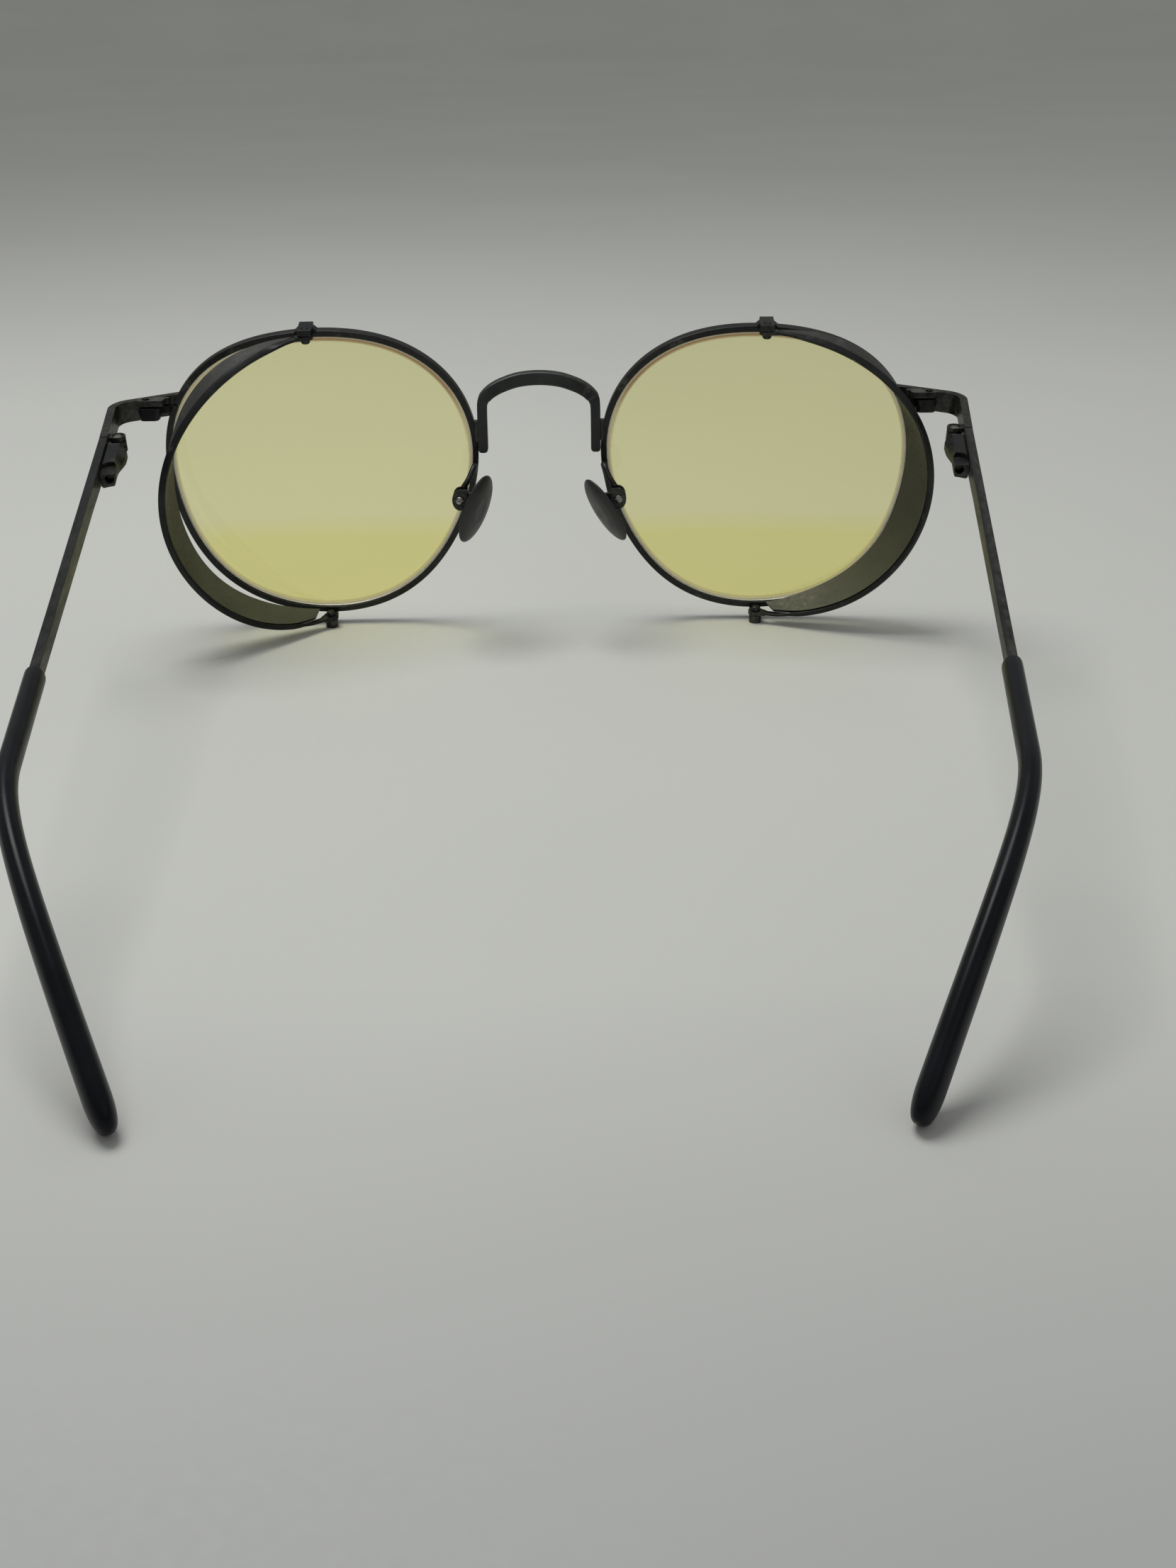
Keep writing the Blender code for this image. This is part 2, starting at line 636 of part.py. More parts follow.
def add_closing_blocks(name, side, cutter, bodies, looks):
    """Two small blocks behind the end piece, above and below the slit, and their screw."""
    front = bodies["front"]
    inner_x = SLIT_PLACE.x + BLOCK_OUTWARD
    middle_x = inner_x + BLOCK_LENGTH / 2
    front_y = SLIT_PLACE.y - BLOCK_BEHIND
    middle_y = front_y - BLOCK_DEPTH / 2
    block_top = SLIT_PLACE.z + BLOCK_ABOVE
    split_high = block_top - BLOCK_UPPER_HEIGHT
    split_low = split_high - SLIT_WIDTH
    bottom = split_low - BLOCK_LOWER_HEIGHT
    lug_front = front_y + BLOCK_LUG_FORWARD
    for word, low, high, taper in (
        ("upper", split_high, block_top, 0), ("lower", bottom, split_low, BLOCK_TAPER)
    ):
        widths = (BLOCK_LENGTH - 2 * taper, BLOCK_LENGTH)
        sections = []
        for z, width in zip((low, high), widths):
            outline = rectangle(width, BLOCK_DEPTH, BLOCK_EDGE)
            sections.append(place(outline, Vector((middle_x, middle_y, z)), X_AXIS, Y_AXIS))
        piece = add_object(f"{name}_closing_block_{word}", loft(sections), side, front, looks["frame"])
        lug_base = max(low, high - STRAP_THICKNESS)
        lug_low = Vector((inner_x - BLOCK_LUG_REACH, lug_front - BLOCK_LUG_DEPTH, lug_base))
        lug_high = Vector((inner_x + BLOCK_DEPTH / 2, lug_front, high))
        lug = block(lug_low, lug_high, (Y_AXIS, Z_AXIS, X_AXIS), RIM_EDGE)
        fuse(piece, add_helper(f"{name}_{word}_block_lug", lug, side, front))
        bore = ((PIN_BORE_RADIUS, -OVERRUN), (PIN_BORE_RADIUS, high - low + OVERRUN))
        base = Vector((inner_x + BLOCK_SCREW_OUTWARD, middle_y, low))
        cut(piece, add_helper(f"{name}_{word}_block_bore", loft(turned(base, Z_AXIS, bore)), side, front))
        cut(piece, cutter)
    top = block_top - bottom
    profile = (
        (BLOCK_SCREW_RADIUS, RUN_GAP), (BLOCK_SCREW_RADIUS, top + RUN_GAP),
        (BLOCK_SCREW_HEAD_RADIUS + RUN_GAP * 2, top + RUN_GAP),
        (BLOCK_SCREW_HEAD_RADIUS, top + RUN_GAP + BLOCK_SCREW_HEAD_HEIGHT),
    )
    base = Vector((inner_x + BLOCK_SCREW_OUTWARD, middle_y, bottom))
    shape = loft(turned(base, Z_AXIS, profile))
    add_object(name + "_closing_screw", shape, side, front, looks["steel"])


# The temple: arm, spring-hinge housing, slider, spring and tip


def arm_start():
    return PIN_BACK + RETURN_PAST_PIN + JOINT_GAP


def make_arm():
    stations = (
        (arm_start(), ARM_THICKNESS, ARM_HEIGHT_HINGE), (ARM_MIDDLE, ARM_THICKNESS, ARM_HEIGHT_MIDDLE),
        (ARM_SLEEVE, ARM_THICKNESS, ARM_HEIGHT_SLEEVE), (ARM_SLEEVE, CORE_THICKNESS, CORE_HEIGHT),
        (ARM_SLEEVE + CORE_LENGTH, CORE_THICKNESS, CORE_HEIGHT),
    )
    sections = []
    for back, thickness, height in stations:
        centre = sleeve_axis(back) if thickness == CORE_THICKNESS else arm_point(
            back, ARM_THICKNESS / 2, -height / 2
        )
        sections.append(place(rectangle(thickness, height, ARM_EDGE), centre, ARM_IN, ARM_UP))
    return loft(sections)


def sleeve_axis(back):
    return arm_point(back, ARM_THICKNESS / 2, -ARM_HEIGHT_SLEEVE / 2)


def eased(share, ease):
    """Runs from 0 to 1, level at first and then nearly straight."""
    return (math.hypot(share, ease) - ease) / (math.hypot(1, ease) - ease)


def tip_point(share):
    down = TIP_CURVE_DROP * eased(share, TIP_DROP_EASE_SHARE)
    inward = TIP_CURVE_INWARD * eased(share, TIP_INWARD_EASE_SHARE)
    return sleeve_axis(TIP_BEND + TIP_CURVE_LENGTH * share) - ARM_UP * down + ARM_IN * inward


def make_tip():
    """A sleeve over the arm's core that bends down and inward and swells towards its end."""
    clearance = 2 * RUN_GAP
    bore = ellipse(CORE_THICKNESS + 2 * clearance, CORE_HEIGHT + 2 * clearance, TIP_SIDES)
    mouth = ARM_SLEEVE + JOINT_GAP
    bore_end = ARM_SLEEVE + CORE_LENGTH + JOINT_GAP
    sections = [place(bore, sleeve_axis(back), ARM_IN, ARM_UP) for back in (bore_end, mouth)]
    collar = ellipse(TIP_WIDTH, TIP_HEIGHT, TIP_SIDES)
    sections.append(place(collar, sleeve_axis(mouth), ARM_IN, ARM_UP))
    path = [sleeve_axis(mouth), sleeve_axis((mouth + TIP_BEND) / 2)]
    outlines = [collar, collar]
    end_share = TIP_END_LENGTH / TIP_CURVE_LENGTH
    stations = [(step / TIP_STEPS * (1 - end_share), 1) for step in range(TIP_STEPS + 1)]
    for step in range(TIP_END_STEPS):
        turn = TIP_END_TURN * (step + 1) / TIP_END_STEPS
        stations.append((1 - end_share + end_share * math.sin(turn), math.cos(turn)))
    for share, rounding in stations:
        swell = share * share * (3 - 2 * share)
        width = (TIP_WIDTH + (TIP_END_WIDTH - TIP_WIDTH) * swell) * rounding
        height = (TIP_HEIGHT + (TIP_END_HEIGHT - TIP_HEIGHT) * swell) * rounding
        path.append(tip_point(share))
        outlines.append(ellipse(width, height, TIP_SIDES))
    sections += sweep(path, ARM_UP, outlines)[1:]
    return loft(sections)


def housing_width(share):
    """Inward width along the housing: front, belly, then the narrower rear."""
    belly = HOUSING_BELLY / HOUSING_LENGTH
    if share < belly:
        rise = math.sin(share / belly * math.pi / 2)
        return HOUSING_FRONT_WIDTH + (HOUSING_BELLY_WIDTH - HOUSING_FRONT_WIDTH) * rise
    fall = (1 - math.cos((share - belly) / (1 - belly) * math.pi)) / 2
    return HOUSING_BELLY_WIDTH + (HOUSING_REAR_WIDTH - HOUSING_BELLY_WIDTH) * fall


def housing_point(back, inward, up):
    return arm_point(PIN_BACK + back, ARM_THICKNESS + JOINT_GAP + inward, up - ARM_HEIGHT_HINGE / 2)


def make_housing():
    """A hollow case: a faceted outside round a stepped bore."""
    half = HOUSING_HEIGHT / 2
    edge = HOUSING_EDGE
    sections = []
    for step in range(HOUSING_STEPS + 1):
        share = step / HOUSING_STEPS
        back = HOUSING_START + HOUSING_LENGTH * share
        width = housing_width(share)
        top = min(width, HOUSING_FRONT_WIDTH * HOUSING_TOP_WIDTH_SHARE)
        outline = (
            (0, edge - half), (0, half - edge), (edge, half), (top, half),
            (width, half * HOUSING_FACET_SHARE), (width, -half * HOUSING_FACET_SHARE),
            (width - edge, edge - half), (edge, -half),
        )
        sections.append([housing_point(back, inward, up) for inward, up in outline])
    rear = HOUSING_START + HOUSING_LENGTH
    wall_end = CHAMBER_WALL_START + CHAMBER_WALL + HOUSING_START
    wall_start = CHAMBER_WALL_START + HOUSING_START
    small = ROD_RADIUS + RUN_GAP
    big = CHAMBER_RADIUS
    for back, radius in ((rear, big), (wall_end, big), (wall_end, small), (wall_start, small),
                         (wall_start, big), (HOUSING_START, big)):
        section = []
        for step in range(WIRE_SIDES):
            turn = math.pi + math.pi * (1 - 2 * step) / WIRE_SIDES
            inward = HOUSING_AXIS_INWARD + radius * math.cos(turn)
            section.append(housing_point(back, inward, radius * math.sin(turn)))
        sections.append(section)
    return loft(sections, closed=True)


def add_slider(name, side, bodies, looks):
    """The temple's knuckle, on a block and a rod that run back into the housing."""
    temple = bodies[name + "_temple"]
    base = hinge_axis_point(-KNUCKLE_MID_HEIGHT / 2)
    outline = ((KNUCKLE_RADIUS, 0), (KNUCKLE_RADIUS, KNUCKLE_MID_HEIGHT))
    disc = loft(turned(base, ARM_UP, outline, WASHER_SIDES))
    slider = add_object(name + "_hinge_slider", disc, side, temple, looks["steel"])
    axis_in = HOUSING_AXIS_INWARD
    outline = rectangle(SLIDER_BLOCK_WIDTH, SLIDER_BLOCK_HEIGHT, RIM_EDGE)
    points = [housing_point(back, axis_in, 0) for back in (0, SLIDER_BLOCK_END)]
    ends = [place(outline, point, ARM_IN, ARM_UP) for point in points]
    fuse(slider, add_helper(name + "_slider_block", loft(ends), side, temple))
    profile = (
        (ROD_RADIUS, SLIDER_BLOCK_END / 2), (ROD_RADIUS, SLIDER_LENGTH),
        (SLIDER_HEAD_RADIUS, SLIDER_LENGTH), (SLIDER_HEAD_RADIUS, SLIDER_LENGTH + SLIDER_HEAD_LENGTH),
    )
    rod = loft(turned(housing_point(0, axis_in, 0), ARM_BACK, profile, ROD_SIDES))
    fuse(slider, add_helper(name + "_slider_rod", rod, side, temple))
    bore_base = hinge_axis_point(-knuckle_half_height())
    bore = ((PIN_BORE_RADIUS, 0), (PIN_BORE_RADIUS, 2 * knuckle_half_height()))
    cut(slider, add_helper(name + "_slider_bore", loft(turned(bore_base, ARM_UP, bore)), side, temple))


def make_spring():
    start = HOUSING_START + CHAMBER_WALL_START + CHAMBER_WALL + JOINT_GAP + SPRING_WIRE / 2
    path = []
    count = SPRING_TURNS * SPRING_TURN_STEPS
    for step in range(count + 1):
        turn = math.tau * step / SPRING_TURN_STEPS
        back = start + SPRING_LENGTH * step / count
        inward = HOUSING_AXIS_INWARD + SPRING_RADIUS * math.cos(turn)
        path.append(housing_point(back, inward, SPRING_RADIUS * math.sin(turn)))
    outline = ellipse(SPRING_WIRE, SPRING_WIRE, FINE_WIRE_SIDES)
    return loft(sweep(path, ARM_BACK, [outline] * len(path)))


def add_temple(name, side, bodies, looks):
    temple = bodies[name + "_temple"]
    add_object(name + "_temple_arm", make_arm(), side, temple, looks["frame"])
    add_object(name + "_hinge_housing", make_housing(), side, temple, looks["frame"])
    add_slider(name, side, bodies, looks)
    add_object(name + "_hinge_spring", make_spring(), side, temple, looks["steel"])
    add_object(name + "_temple_tip", make_tip(), side, temple, looks["tip"])


# Nose pads: a wire arm with a box, a screw and the pad that rocks on it


def pad_axes():
    long = Vector((math.sin(PAD_SPLAY), -math.sin(PAD_LEAN), -math.cos(PAD_SPLAY))).normalized()
    wide = Vector((math.sin(PAD_FLARE), -math.cos(PAD_FLARE), 0))
    wide = (wide - long * wide.dot(long)).normalized()
    face = long.cross(wide)
    if face.x > 0:
        face.negate()
    return long, wide, face


def pad_box_outline():
    """Square towards the nose and round towards the temple."""
    half = PAD_BOX_HEIGHT / 2
    outline = [(-PAD_BOX_WIDTH / 2, half), (-PAD_BOX_WIDTH / 2, -half)]
    for step in range(ARC_STEPS + 1):
        turn = math.pi * step / ARC_STEPS - math.pi / 2
        outline.append(((PAD_BOX_WIDTH / 2) * math.cos(turn), half * math.sin(turn)))
    return outline


def add_pad_arm(name, side, bodies, looks):
    front = bodies["front"]
    half = PAD_BOX_DEPTH / 2
    outline = pad_box_outline()
    box = loft([place(outline, PAD_SCREW + Y_AXIS * y, X_AXIS, Z_AXIS) for y in (-half, half)])
    arm = add_object(name + "_pad_arm", box, side, front, looks["frame"])
    slot_low = PAD_SCREW - Vector((PAD_BOX_WIDTH, PAD_SLOT / 2, PAD_BOX_HEIGHT))
    slot_high = PAD_SCREW + Vector((PAD_TAB_RADIUS + RUN_GAP, PAD_SLOT / 2, PAD_BOX_HEIGHT))
    slot = block(slot_low, slot_high, (Y_AXIS, Z_AXIS, X_AXIS), RUN_GAP)
    cut(arm, add_helper(name + "_pad_slot", slot, side, front))
    bore = ((PAD_BORE_RADIUS, -half - OVERRUN), (PAD_BORE_RADIUS, half + OVERRUN))
    cut(arm, add_helper(name + "_pad_bore", loft(turned(PAD_SCREW, Y_AXIS, bore)), side, front))
    start = outline_point(PAD_ARM_ANGLE, RIM_WALL / 2, -JOINT_GAP)
    off = outline_point(PAD_ARM_ANGLE, RIM_WALL / 2, -PAD_ARM_STANDOFF)
    box_top = PAD_SCREW + Vector((-PAD_ARM_END_INWARD, PAD_SLOT / 2, PAD_BOX_HEIGHT / 2 - RIM_EDGE))
    bends = [RIM_LEVEL + point for point in (PAD_ARM_RISE, PAD_ARM_BEND, PAD_ARM_FALL)]
    path = smooth([start, off, *bends, box_top], PAD_ARM_STEPS)
    outline = ellipse(PAD_ARM_WIRE, PAD_ARM_WIRE, WIRE_SIDES)
    wire = loft(sweep(path, X_AXIS, [outline] * len(path)))
    fuse(arm, add_helper(name + "_pad_wire", wire, side, front))


def add_pad_screw(name, side, bodies, looks):
    half = PAD_BOX_DEPTH / 2
    head = -half - RUN_GAP
    profile = (
        (PAD_HEAD_RADIUS * HEAD_TOP_SHARE, head - PAD_HEAD_HEIGHT),
        (PAD_HEAD_RADIUS, head - PAD_HEAD_HEIGHT / 2),
        (PAD_HEAD_RADIUS, head), (PAD_SCREW_RADIUS, head), (PAD_SCREW_RADIUS, half),
    )
    shape = loft(turned(PAD_SCREW, Y_AXIS, profile))
    add_object(name + "_pad_screw", shape, side, bodies["front"], looks["steel"])


def add_pad(name, side, bodies, looks):
    pad_body = bodies[name + "_pad"]
    long, wide, face = pad_axes()
    sections = []
    for height, share in PAD_DOME_SHARES:
        outline = ellipse(PAD_WIDTH * share, PAD_LENGTH * share, PAD_SIDES)
        centre = PAD_CENTRE + face * (PAD_THICKNESS / 2 * height)
        sections.append(place(outline, centre, wide, long))
    pad = add_object(name + "_nose_pad", loft(sections), side, pad_body, looks["pad"])
    tab = PAD_TAB / 2
    eye = loft(turned(PAD_SCREW, Y_AXIS, ((PAD_TAB_RADIUS, -tab), (PAD_TAB_RADIUS, tab))))
    fuse(pad, add_helper(name + "_pad_eye", eye, side, pad_body))
    neck_low = PAD_SCREW - Vector((PAD_BOX_WIDTH, tab, PAD_TAB_RADIUS))
    neck_high = PAD_SCREW + Vector((0, tab, PAD_TAB_RADIUS))
    neck = block(neck_low, neck_high, (Y_AXIS, Z_AXIS, X_AXIS), RUN_GAP)
    fuse(pad, add_helper(name + "_pad_neck", neck, side, pad_body))
    bore = ((PAD_BORE_RADIUS, -PAD_TAB), (PAD_BORE_RADIUS, PAD_TAB))
    cut(pad, add_helper(name + "_pad_eye_bore", loft(turned(PAD_SCREW, Y_AXIS, bore)), side, pad_body))


# Lugs, screws and side shields


def pivot_point(v):
    return rim_point(PIVOT_U, v, PIVOT_W)


def lug_top_v():
    return outline_radius(math.pi / 2) + LUG_RISE


def tab_levels():
    """The underside of the upper tab and of the lower tab, along the pivot axis."""
    return LUG_BOTTOM_V - RUN_GAP - TAB_THICKNESS, FOOT_TOP_V + RUN_GAP


def add_upper_lug(name, side, cutter, bodies, looks):
    front = bodies["front"]
    low = rim_point(PIVOT_U - LUG_WIDTH / 2, LUG_BOTTOM_V, PIVOT_W - LUG_BACK)
    high = rim_point(PIVOT_U + LUG_WIDTH / 2, lug_top_v(), RIM_DEPTH)
    shape = block(low, high, (RIM_OUT, RIM_FORE, RIM_UP), LUG_EDGE)
    lug = add_object(name + "_shield_lug_top", shape, side, front, looks["frame"])
    cut(lug, cutter)
    bore = ((PIVOT_BORE_RADIUS, LUG_BOTTOM_V - OVERRUN), (PIVOT_BORE_RADIUS, lug_top_v() + OVERRUN))
    cut(lug, add_helper(name + "_top_bore", loft(turned(pivot_point(0), RIM_UP, bore)), side, front))


def add_upper_screw(name, side, bodies, looks):
    tab_low = tab_levels()[0]
    head = tab_low - RUN_GAP
    profile = (
        (PIVOT_HEAD_RADIUS * HEAD_TOP_SHARE, head - PIVOT_HEAD_HEIGHT),
        (PIVOT_HEAD_RADIUS, head - PIVOT_HEAD_HEIGHT / 2), (PIVOT_HEAD_RADIUS, head),
        (PIVOT_SCREW_RADIUS, head), (PIVOT_SCREW_RADIUS, lug_top_v()),
    )
    shape = loft(turned(pivot_point(0), RIM_UP, profile))
    add_object(name + "_shield_screw_top", shape, side, bodies["front"], looks["steel"])


def add_foot(name, side, cutter, bodies, looks):
    """The lower lug: a peg that the glasses stand on, with its foot cut level."""
    front = bodies["front"]
    top = pivot_point(FOOT_TOP_V)
    ring = turned(top, RIM_UP, ((FOOT_RADIUS, 0),), WASHER_SIDES)[0]
    ground = [point - RIM_UP * (point.z / RIM_UP.z) for point in ring]
    foot = add_object(name + "_shield_foot", loft([ground, ring]), side, front, looks["frame"])
    under = -outline_radius(-math.pi / 2)
    low = rim_point(PIVOT_U - FOOT_LUG_WIDTH / 2, FOOT_TOP_V - FOOT_LUG_HEIGHT, PIVOT_W)
    high = rim_point(PIVOT_U + FOOT_LUG_WIDTH / 2, under, RIM_DEPTH - RIM_EDGE)
    lug = block(low, high, (RIM_OUT, RIM_UP, RIM_FORE), LUG_EDGE)
    relief_reach = TAB_RADIUS + RUN_GAP
    fuse(foot, add_helper(name + "_foot_lug", lug, side, front))
    relief = ((relief_reach, 0), (relief_reach, OVERRUN))
    relief_disc = loft(turned(top, RIM_UP, relief, WASHER_SIDES))
    cut(foot, add_helper(name + "_foot_relief", relief_disc, side, front))
    bore = ((PIVOT_BORE_RADIUS, -FOOT_BORE_DEPTH), (PIVOT_BORE_RADIUS, OVERRUN))
    cut(foot, add_helper(name + "_foot_bore", loft(turned(top, RIM_UP, bore)), side, front))
    cut(foot, cutter)


def add_foot_screw(name, side, bodies, looks):
    head = tab_levels()[1] + TAB_THICKNESS + RUN_GAP
    end = FOOT_TOP_V - FOOT_BORE_DEPTH + JOINT_GAP
    profile = (
        (PIVOT_SCREW_RADIUS, end), (PIVOT_SCREW_RADIUS, head), (PIVOT_HEAD_RADIUS, head),
        (PIVOT_HEAD_RADIUS, head + PIVOT_HEAD_HEIGHT / 2),
        (PIVOT_HEAD_RADIUS * HEAD_TOP_SHARE, head + PIVOT_HEAD_HEIGHT),
    )
    shape = loft(turned(pivot_point(0), RIM_UP, profile))
    add_object(name + "_shield_screw_bottom", shape, side, bodies["front"], looks["steel"])


def band_point(t):
    """A point of the shield's back edge, at t from -90 to 90 degrees up the shield."""
    reach = band_reach(t)
    angle = SHIELD_ANGLE + SHIELD_TWIST * math.sin(t) ** 2 + SHIELD_LEAN * math.sin(t)
    high, low = [level + TAB_THICKNESS / 2 for level in tab_levels()]
    v = (high + low) / 2 + (high - low) / 2 * math.sin(t)
    return rim_point(PIVOT_U + reach * math.cos(angle), v, PIVOT_W - reach * math.sin(angle))


def band_reach(t):
    return (RIM_RADIUS + SHIELD_OVERHANG) * math.cos(t) ** SHIELD_REACH_POWER_SHARE


def band_section(t):
    """The band's long and short directions, width and thickness. It lies flat near the tabs."""
    step = SHIELD_BAND_END / SHIELD_BAND_STEPS
    along = band_point(min(t + step, SHIELD_BAND_END)) - band_point(max(t - step, -SHIELD_BAND_END))
    along.normalize()
    across = -along.cross(RIM_FORE).normalized()
    back = across.cross(along)
    rise = (band_reach(t) - SHIELD_FLAT_REACH) / (SHIELD_TURN_REACH - SHIELD_FLAT_REACH)
    rise = min(max(rise, 0), 1)
    turn = SHIELD_BAND_TURN * rise * rise * (3 - 2 * rise)
    long = across * math.sin(turn) - back * math.cos(turn)
    short = across * math.cos(turn) + back * math.sin(turn)
    thickness = SHIELD_BAND_ROOT + (SHIELD_BAND - SHIELD_BAND_ROOT) * rise
    return long, short, thickness


def shield_front_point(t):
    inset = SHIELD_PANEL_INSET - SHIELD_PANEL_SHIFT * math.sin(t) ** 3 * math.cos(t)
    return outline_point(t, inset, -SHIELD_PANEL_GAP)


def add_shield_frame(name, side, bodies, looks):
    shield = bodies[name + "_shield"]
    sections = []
    for step in range(SHIELD_BAND_STEPS + 1):
        t = SHIELD_BAND_END * (2 * step / SHIELD_BAND_STEPS - 1)
        long, short, thickness = band_section(t)
        outline = rectangle(SHIELD_BAND_WIDTH, thickness, SHIELD_BAND_EDGE)
        sections.append(place(outline, band_point(t), long, short))
    frame = add_object(name + "_shield_frame", loft(sections), side, shield, looks["frame"])
    ends = (band_point(SHIELD_BAND_END), band_point(-SHIELD_BAND_END))
    for word, level, end in zip(("upper", "lower"), tab_levels(), ends):
        centre = pivot_point(level)
        away = end - centre
        away = (away - RIM_UP * away.dot(RIM_UP)).normalized()
        across = RIM_UP.cross(away)
        outline = []
        for step in range(ARC_STEPS + 1):
            turn = math.pi * step / ARC_STEPS + math.pi / 2
            outline.append((TAB_RADIUS * math.cos(turn), TAB_RADIUS * math.sin(turn)))
        narrow = SHIELD_BAND_WIDTH / 2
        outline += [(TAB_REACH, -narrow), (TAB_REACH, narrow)]
        tops = [centre, centre + RIM_UP * TAB_THICKNESS]
        plate = loft([place(outline, base, away, across) for base in tops])
        fuse(frame, add_helper(f"{name}_{word}_tab", plate, side, shield))
        base = pivot_point(level - OVERRUN)
        bore = ((PIVOT_BORE_RADIUS, 0), (PIVOT_BORE_RADIUS, 2 * OVERRUN))
        cut(frame, add_helper(f"{name}_{word}_tab_bore", loft(turned(base, RIM_UP, bore)), side, shield))


def add_shield_panel(name, side, bodies, looks):
    """A thin curved sheet from the rim's back face to the band."""
    shield = bodies[name + "_shield"]
    grid = []
    for step in range(SHIELD_PANEL_STEPS + 1):
        t = SHIELD_PANEL_END * (2 * step / SHIELD_PANEL_STEPS - 1)
        start = shield_front_point(t)
        long, short, thickness = band_section(t)
        toward = start - band_point(t)
        toward = (long * toward.dot(long) + short * toward.dot(short)).normalized()
        half = abs(toward.dot(long)) * SHIELD_BAND_WIDTH / 2 + abs(toward.dot(short)) * thickness / 2
        end = band_point(t) + toward * (half + JOINT_GAP)
        outward = (RIM_OUT * math.cos(t) + RIM_UP * math.sin(t)).normalized()
        row = []
        for band in range(SHIELD_PANEL_BANDS + 1):
            s = band / SHIELD_PANEL_BANDS
            row.append(start.lerp(end, s) + outward * (SHIELD_BULGE * math.sin(math.pi * s) * math.cos(t)))
        grid.append(row)
    sections = []
    for index, row in enumerate(grid):
        along = grid[min(index + 1, SHIELD_PANEL_STEPS)][2] - grid[max(index - 1, 0)][2]
        skin = []
        for band, point in enumerate(row):
            across = row[min(band + 1, SHIELD_PANEL_BANDS)] - row[max(band - 1, 0)]
            normal = across.cross(along).normalized()
            skin.append((point, normal * (SHIELD_PANEL / 2)))
        outer = [point + offset for point, offset in skin]
        inner = [point - offset for point, offset in reversed(skin)]
        sections.append(outer + inner)
    add_object(name + "_shield_panel", loft(sections), side, shield, looks["shield"])


def make_bodies(root):
    bodies = {"front": add_empty("front", root)}
    for name, side in SIDES:
        mirror = Vector((side, 1, 1))
        hinge = hinge_axis_point() * mirror
        pivot = pivot_point(0) * mirror
        screw = PAD_SCREW * mirror
        swing = Quaternion(RIM_UP * mirror, LEFT_SHIELD_OPEN) if side < 0 else None
        rock = Quaternion(Y_AXIS, -PAD_REST_ROCK)
        bodies[name + "_temple"] = add_empty(name + "_temple", root, hinge)
        bodies[name + "_shield"] = add_empty(name + "_shield", root, pivot, swing)
        bodies[name + "_pad"] = add_empty(name + "_pad", root, screw, rock)
    return bodies


def make_looks():
    return {kind: make_material(*look) for kind, look in LOOKS.items()}


def centre_on_ground(root):
    """Puts the middle of the whole object's box over the world origin, standing on Z = 0."""
    bpy.context.view_layer.update()
    graph = bpy.context.evaluated_depsgraph_get()
    corners = []
    for obj in bpy.data.objects:
        if obj.type != "MESH" or obj.hide_render:
            continue
        evaluated = obj.evaluated_get(graph)
        mesh = evaluated.to_mesh()
        corners += [evaluated.matrix_world @ vert.co for vert in mesh.vertices]
        evaluated.to_mesh_clear()
    low = Vector([min(point[axis] for point in corners) for axis in range(3)])
    high = Vector([max(point[axis] for point in corners) for axis in range(3)])
    root.location = Vector((-(low.x + high.x) / 2, -(low.y + high.y) / 2, -low.z))
    print("box", [round(value / MM, 2) for value in (*low, *high)])


def main():
    clear_scene()
    root = add_empty("glasses")
    bodies = make_bodies(root)
    looks = make_looks()
    cutters = []
    for name, side in SIDES:
        cutter = add_rim_and_lens(name, side, bodies, looks)
        cutters.append(cutter)
        add_end_piece(name, side, cutter, bodies, looks)
        add_hinge_screw(name, side, bodies, looks)
        add_closing_blocks(name, side, cutter, bodies, looks)
        add_temple(name, side, bodies, looks)
        add_pad_arm(name, side, bodies, looks)
        add_pad_screw(name, side, bodies, looks)
        add_pad(name, side, bodies, looks)
        add_upper_lug(name, side, cutter, bodies, looks)
        add_upper_screw(name, side, bodies, looks)
        add_foot(name, side, cutter, bodies, looks)
        add_foot_screw(name, side, bodies, looks)
        add_shield_frame(name, side, bodies, looks)
        add_shield_panel(name, side, bodies, looks)
    add_bridge(cutters, bodies, looks)
    centre_on_ground(root)


main()
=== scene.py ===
# Round metal computer glasses with hinged side shields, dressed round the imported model.
# Sizes are in millimetres in the drawing's own frame, drawn for the right side and mirrored for the left.
from math import cos, hypot, pi, radians, sin, tan, tau

import bmesh
import bpy
from mathutils import Matrix, Quaternion, Vector


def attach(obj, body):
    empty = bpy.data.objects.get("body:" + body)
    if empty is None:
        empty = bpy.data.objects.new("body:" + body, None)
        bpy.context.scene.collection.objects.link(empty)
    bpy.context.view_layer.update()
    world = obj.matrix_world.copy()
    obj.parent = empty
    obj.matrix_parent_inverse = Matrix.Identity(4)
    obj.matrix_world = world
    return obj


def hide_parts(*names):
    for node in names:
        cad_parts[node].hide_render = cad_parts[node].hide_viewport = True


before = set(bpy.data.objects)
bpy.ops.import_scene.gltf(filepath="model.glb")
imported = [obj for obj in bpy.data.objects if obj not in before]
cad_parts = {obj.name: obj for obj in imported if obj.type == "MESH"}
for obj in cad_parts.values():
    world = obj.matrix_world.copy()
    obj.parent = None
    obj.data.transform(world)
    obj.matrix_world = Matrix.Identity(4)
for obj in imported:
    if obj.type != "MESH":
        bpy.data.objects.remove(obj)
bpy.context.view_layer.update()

mm = 0.001
shift = Vector((0, 67.677, 0)) * mm   # from the drawing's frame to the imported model's
sides = (("right", 1), ("left", -1))
xAxis = Vector((1, 0, 0))
yAxis = Vector((0, 1, 0))
zAxis = Vector((0, 0, 1))
play = 0.15   # gap between pieces that turn on each other
past = 2      # how far a cutter reaches past what it cuts
weld = 0.002   # points nearer than this are one
